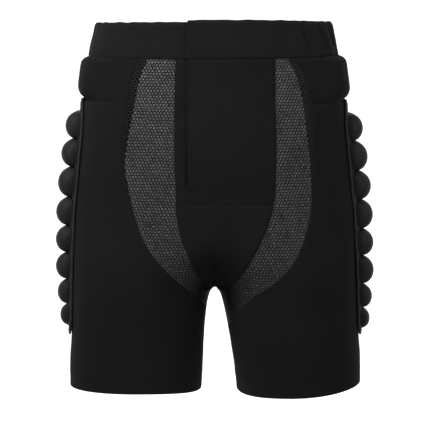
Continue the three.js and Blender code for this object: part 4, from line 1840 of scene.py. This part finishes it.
        # Painted shade: marks the low channels between pods, and the whole inside, to be darkened in
        # the cover's colour.
        low = 1 - smooth(heights / self.hollow_shade_height).ravel()
        hollow = np.concatenate([low, np.ones(heights.size)])
        obj.data.attributes.new("hollow", "FLOAT", "POINT").data.foreach_set("value", hollow)
        self.inflate(obj, free)
        subdivide = obj.modifiers.new("cover", "SUBSURF")
        subdivide.levels = subdivide.render_levels = 1
        dress(obj, self.finishes.pod_cover)
        enter(obj, Slot.FOAM, f"hip_pad_{side.name}")
        self.pieces[obj.name] = obj

    def inflate(self, obj: bpy.types.Object, free: Array) -> None:
        """Swells a pad's domes with a cloth simulation.

        Args:
            obj: The pad.
            free: How free each outside vertex is to move, from 0 in the channels to 1 on the domes.
        """
        held = obj.vertex_groups.new(name="held")
        count = len(free)
        for index in range(len(obj.data.vertices)):
            weight = 1.0 - float(free[index]) if index < count else 1.0
            held.add([index], weight, "REPLACE")
        start = np.empty(len(obj.data.vertices) * 3)
        obj.data.vertices.foreach_get("co", start)
        start = start.reshape(-1, 3)
        cloth = obj.modifiers.new("swell", "CLOTH")
        settings = cloth.settings
        settings.vertex_group_mass = "held"
        settings.use_pressure = True
        settings.uniform_pressure_force = self.pressure
        settings.effector_weights.gravity = 0.0
        settings.mass = self.cover_mass
        settings.tension_stiffness = settings.compression_stiffness = self.stretch
        settings.shear_stiffness = self.stretch
        settings.bending_stiffness = self.bend
        settings.quality = self.quality
        scene = bpy.context.scene
        for frame in range(1, self.frames + 1):
            scene.frame_set(frame)
        graph = bpy.context.evaluated_depsgraph_get()
        swollen = obj.evaluated_get(graph).to_mesh()
        moved = np.empty(len(swollen.vertices) * 3)
        swollen.vertices.foreach_get("co", moved)
        obj.evaluated_get(graph).to_mesh_clear()
        obj.modifiers.remove(cloth)
        scene.frame_set(1)
        step = moved.reshape(-1, 3) - start
        size = np.linalg.norm(step, axis=1, keepdims=True)
        limit = self.swell * MM
        kept = np.minimum(1.0, limit * np.tanh(size / limit) / np.maximum(size, 1e-9))
        obj.data.vertices.foreach_set("co", (start + step * kept).ravel())
        obj.data.update()
        obj.vertex_groups.clear()
        LOG.info("%s swelled by up to %.1f mm", obj.name, float((size * kept).max()) / MM)

    def outline(self, step: float) -> tuple[Array, Array]:
        """Gives the pad's outline as even points.

        Args:
            step: The spacing of the points.

        Returns:
            Places from front to back, and distances down the pad.
        """
        down = np.linspace(0, self.length, 240)
        half = self.half_width(down)
        end = np.linspace(-1, 1, 40)[1:-1]
        y = np.concatenate([-half, end * half[-1], half[::-1], -end * half[0]])
        d = np.concatenate([down, np.full(end.shape, self.length), down[::-1], np.zeros(end.shape)])
        y_loop, d_loop = np.append(y, y[0]), np.append(d, d[0])
        run = np.concatenate([[0.0], np.cumsum(np.hypot(np.diff(y_loop), np.diff(d_loop)))])
        even = np.linspace(0, run[-1], int(run[-1] / step) + 1)[:-1]
        return self.middle_y + np.interp(even, run, y_loop), np.interp(even, run, d_loop)

    def binding(self, side: Side) -> None:
        """Builds one pad's bound edge as a soft tube with flat sides."""
        y, down = self.outline(self.binding_step)
        for _ in range(self.binding_rounds):
            y = (np.roll(y, 1) + 2 * y + np.roll(y, -1)) / 4
            down = (np.roll(down, 1) + 2 * down + np.roll(down, -1)) / 4
        path = np.stack([y, down], axis=1)
        along = np.roll(path, -1, axis=0) - np.roll(path, 1, axis=0)
        along /= np.linalg.norm(along, axis=1, keepdims=True)
        angles = np.linspace(0, FULL_TURN, self.binding_sides, endpoint=False)
        middle = FORM.seam_gap + self.binding_width / 2
        out = middle + self.binding_width / 2 * signed_power(np.cos(angles), self.binding_square)
        lift = self.binding_height / 2 * (1 + signed_power(np.sin(angles), self.binding_square))
        grid_y = y[:, None] - along[:, 1:2] * out[None]
        grid_down = down[:, None] + along[:, 0:1] * out[None]
        points = self.place(side, grid_y, grid_down, np.broadcast_to(lift[None], grid_y.shape))
        size, rings = len(angles), len(y)
        index = np.arange(rings * size).reshape(rings, size)
        nxt, beside = np.roll(index, -1, axis=0), np.roll(index, -1, axis=1)
        faces = np.stack([index, beside, np.roll(nxt, -1, axis=1), nxt], axis=-1).reshape(-1, 4)
        flat_points = points.reshape(-1, 3)
        if signed_volume(flat_points, faces) < 0:
            faces = faces[:, ::-1]
        around = np.broadcast_to((np.arange(size) * self.binding_step / 2)[None], (rings, size))
        run = np.broadcast_to((np.arange(rings) * self.binding_step)[:, None], (rings, size))
        flat = np.stack([around, run], axis=-1).reshape(-1, 2) * MM
        obj = mesh_object(f"pad_binding_tape_{side.name}", flat_points, faces, flat)
        enter(dress(obj, self.finishes.tape), Slot.BINDING, f"pad_binding_{side.name}")


@dataclass
class Stitching:
    """Rows of stitches along the seams, the fly, the hems and the pads."""

    finishes: Finishes
    tree: StitchTree
    panels: ClothPanels
    pads: HipPads
    band: bpy.types.Object
    inset: float = 2.6
    thread_lift: float = 0.00012
    border: float = 2.2
    hem_heights: tuple[float, float] = (16.0, 20.0)
    hem_ends: tuple[float, float] = (0.02, 0.985)
    row_start: float = 3.0
    row_end: float = 12.0
    fly_edge_inset: float = 3.0
    tack_drops: tuple[float, float] = (178.2, 179.0)
    band_drops: tuple[float, float] = (5.5, 33.7)
    band_lift: float = 0.6

    def build(self) -> None:
        """Builds and hands over every group of stitches."""
        over = self.panels.pieces["front_over_cloth"]
        self.sew("fly_stitches", over, [self.fly_hook(), self.fly_edge(), *self.bar_tacks()])
        for side in (RIGHT, LEFT):
            front = self.panels.pieces[f"front_leg_cloth_{side.name}"]
            back = self.panels.pieces[f"back_leg_cloth_{side.name}"]
            self.sew(f"front_hem_stitches_{side.name}", front, self.hem_rows(side, True))
            self.sew(f"back_hem_stitches_{side.name}", back, self.hem_rows(side, False))
            self.sew(f"net_edge_stitches_{side.name}", front, [self.net_row(side)])
            self.sew(f"seat_seam_stitches_{side.name}", back, [self.seat_row(side)])
            pad = self.pads.pieces[f"hip_pad_cover_{side.name}"]
            self.sew(f"pad_edge_stitches_{side.name}", pad, [self.pad_row(side)], Slot.BINDING)
        self.sew("waist_seam_stitches", self.band, self.band_rows(), Slot.ELASTIC)

    def sew(
        self, name: str, ground: bpy.types.Object, rows: Sequence[Array], slot: Slot = Slot.CLOTH
    ) -> None:
        """Lays stitches on a piece of cloth along paths.

        Args:
            name: The piece's name.
            ground: The piece that they are sewn on.
            rows: The paths, each a list of points in millimetres.
            slot: The record's slot of the thread.
        """
        graph = bpy.context.evaluated_depsgraph_get()
        tree = BVHTree.FromObject(ground, graph)
        points: list[Vector] = []
        edges: list[tuple[int, int]] = []
        for row in rows:
            first = len(points)
            for point in row:
                near, normal, _, _ = tree.find_nearest(Vector(point) * MM)
                points.append(near + normal * self.thread_lift)
            edges += [(first + k, first + k + 1) for k in range(len(row) - 1)]
        mesh = bpy.data.meshes.new(name)
        mesh.from_pydata(points, edges, [])
        obj = add_object(name, mesh)
        self.tree.bake(obj, self.finishes.thread)
        enter(obj, slot)

    def fly_hook(self) -> Array:
        """Gives the J-shaped line that holds the fly."""
        marks_x = np.array([6.5, 6.5, 3.0, -1.5, -4.5, -8.3, -15.0, -25.5])
        marks_drop = np.array([44.0, 74.0, 118.0, 158.0, 166.5, 171.0, 175.0, 177.0])
        marks = range(len(marks_x))
        steps = np.linspace(0, marks[-1], 170)
        x = curve_value(marks, marks_x, steps)
        drop = curve_value(marks, marks_drop, steps)
        return FORM.front_at(x, drop, self.panels.lap_lift)

    def fly_edge(self) -> Array:
        """Gives the line along the lap's free edge."""
        drop = np.linspace(43, 200, 160)
        x = np.full(drop.shape, FORM.lap_edge + self.fly_edge_inset)
        return FORM.front_at(x, drop, self.panels.lap_lift)

    def bar_tacks(self) -> list[Array]:
        """Gives the short close rows that lock the end of the fly."""
        x = np.linspace(-26, -14, 14)
        drops = [np.full(x.shape, drop) for drop in self.tack_drops]
        return [FORM.front_at(x, drop, self.panels.lap_lift) for drop in drops]

    def hem_rows(self, side: Side, is_front: bool) -> list[Array]:
        """Gives the twin rows above a hem."""
        rows = []
        for up in self.hem_heights:
            shares = np.linspace(*self.hem_ends, 150)
            drop = np.full(shares.shape, FORM.hem_drop - up)
            rows.append(FORM.cloth_at(side, shares * FORM.end_angle(drop, is_front), drop))
        return rows

    def row_drops(self, end: float, count: int) -> Array:
        """Gives the drops of a row that runs from the waist seam nearly to another drop."""
        return np.linspace(FORM.band_height + self.row_start, end - self.row_end, count)

    def net_row(self, side: Side) -> Array:
        """Gives the row beside a net strip's outer edge."""
        drop = self.row_drops(FORM.net_end(side), 200)
        edge = FORM.net_edge(side, side.net_outer, drop)
        ahead, behind = FORM.body_at(edge + FORM.step, drop), FORM.body_at(edge - FORM.step, drop)
        reach = np.linalg.norm(ahead - behind, axis=-1)
        return FORM.cloth_at(side, edge + self.inset * 2 * FORM.step / reach, drop)

    def seat_row(self, side: Side) -> Array:
        """Gives the row beside the centre back seam."""
        drop = self.row_drops(FORM.rise, 180)
        edge = FORM.end_angle(drop, False)
        here, behind = FORM.body_at(edge, drop), FORM.body_at(edge - FORM.step, drop)
        reach = np.maximum(np.linalg.norm(here - behind, axis=-1), 0.05)
        return FORM.cloth_at(side, edge - self.inset * FORM.step / reach, drop)

    def pad_row(self, side: Side) -> Array:
        """Gives the row on a pad's flat border, inside its bound edge."""
        y, down = self.pads.outline(2.0)
        middle = self.pads.middle_y
        half = self.pads.half_width(down)
        y = middle + (y - middle) * (half - self.border) / half
        down = np.clip(down, self.border, self.pads.length - self.border)
        y, down = np.append(y, y[0]), np.append(down, down[0])
        return self.pads.place(side, y, down, self.pads.base)

    def band_rows(self) -> list[Array]:
        """Gives the two rows round the waistband, near its edges."""
        band = Waistband(self.finishes)
        start = band.front_turn(FORM.lap_under_edge) - 0.3
        end = band.front_turn(FORM.lap_edge) - FULL_TURN + 0.02
        turns = np.linspace(start, end, 620)
        drops = [np.full(turns.shape, drop) for drop in self.band_drops]
        return [band.place(turns, drop, self.band_lift) for drop in drops]


@dataclass
class Studio:
    """The camera, the floor and the lights."""

    position: tuple[float, float, float] = (0.0048, -2.2, 0.025)
    target: tuple[float, float, float] = (0.0048, 0.0, -0.2148)
    lens: float = 151.9
    roll: float = math.radians(-0.25)
    floor_z: float = -0.60
    sweep_front: float = 0.42
    sweep_back: float = 5.0
    sweep_top: float = 6.0
    world_strength: float = 0.17
    stage_size: float = 14.0
    sweep_bend: float = 1.5
    sweep_lift: float = 0.002

    def build(self) -> None:
        """Builds everything that isn't the shorts."""
        self.camera()
        self.floor()
        self.sweep()
        self.lights()
        bpy.context.scene.view_settings.view_transform = "Standard"

    def camera(self) -> None:
        """Places the camera at the photograph's viewing angle."""
        data = bpy.data.cameras.new("camera")
        data.lens, data.sensor_width = self.lens, 36.0
        data.clip_end = 60.0
        obj = bpy.data.objects.new("camera", data)
        bpy.context.scene.collection.objects.link(obj)
        roll = Matrix.Rotation(self.roll, 4, "Z")
        obj.matrix_world = self.facing_target(self.position) @ roll
        bpy.context.scene.camera = obj

    def facing_target(self, place: tuple[float, float, float]) -> Matrix:
        """Gives the transform of something at a place that looks at the target."""
        look = Vector(self.target) - Vector(place)
        return Matrix.Translation(place) @ look.to_track_quat("-Z", "Y").to_matrix().to_4x4()

    def floor(self) -> None:
        """Lays a plain pale floor."""
        mesh = bpy.data.meshes.new("floor")
        size = self.stage_size
        corners = [(-size, -size), (size, -size), (size, size), (-size, size)]
        mesh.from_pydata([(x, y, self.floor_z) for x, y in corners], [], [(0, 1, 2, 3)])
        obj = add_object("floor", mesh)
        sheet = NodeSheet("pale_floor")
        sheet.set(Roughness=0.9, Specular_IOR_Level=0.1)
        sheet.shader.inputs["Base Color"].default_value = (0.5, 0.5, 0.5, 1.0)
        dress(obj, sheet.material)

    def sweep(self) -> None:
        """Hangs a white paper sweep behind the shorts, which runs out over the floor."""
        size, bend, lift = self.stage_size, self.sweep_bend, self.sweep_lift
        arc = np.linspace(0, math.pi / 2, 13)
        y = [self.sweep_front, *(self.sweep_back - bend + bend * np.sin(arc)), self.sweep_back]
        z = [lift, *(lift + bend * (1 - np.cos(arc))), self.sweep_top]
        points = [(x, b, self.floor_z + c) for b, c in zip(y, z) for x in (-size, size)]
        faces = [(2 * k, 2 * k + 1, 2 * k + 3, 2 * k + 2) for k in range(len(y) - 1)]
        mesh = bpy.data.meshes.new("sweep")
        mesh.from_pydata(points, [], faces)
        obj = add_object("sweep", mesh)
        sheet = NodeSheet("white_paper")
        sheet.set(Roughness=0.95, Specular_IOR_Level=0.0, Emission_Strength=0.75)
        sheet.shader.inputs["Base Color"].default_value = (0.9, 0.9, 0.9, 1.0)
        sheet.shader.inputs["Emission Color"].default_value = (1.0, 1.0, 1.0, 1.0)
        dress(obj, sheet.material)

    def lights(self) -> None:
        """Sets the soft white surround and the large lamps."""
        world = bpy.data.worlds.new("studio")
        world.use_nodes = True
        world.node_tree.nodes["Background"].inputs[0].default_value = (1.0, 1.0, 1.0, 1.0)
        world.node_tree.nodes["Background"].inputs[1].default_value = self.world_strength
        bpy.context.scene.world = world
        self.lamp("key", (-0.64, -0.82, 0.86), 25.5, 0.6)
        self.lamp("fill", (1.5, -1.15, 0.9), 19.0, 1.2)

    def lamp(self, name: str, place: tuple[float, float, float], power: float, size: float) -> None:
        """Adds a large square lamp that faces the shorts.

        Args:
            name: The lamp's name.
            place: Where it stands.
            power: Its power in watts.
            size: The length of its side.
        """
        data = bpy.data.lights.new(name, "AREA")
        data.energy, data.size = power, size
        obj = bpy.data.objects.new(name, data)
        bpy.context.scene.collection.objects.link(obj)
        obj.matrix_world = self.facing_target(place)


def main() -> None:
    """Builds the shorts over the frame, piece by piece."""
    logging.basicConfig(level=logging.INFO, format="%(name)s %(message)s")
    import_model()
    Studio().build()
    finishes = Finishes()
    panels = ClothPanels(finishes)
    panels.build()
    NetStrips(finishes, NetTree()).build()
    band = Waistband(finishes).build()
    pads = HipPads(finishes)
    pads.build()
    Stitching(finishes, StitchTree(), panels, pads, band).build()


if __name__ == "__main__":
    main()
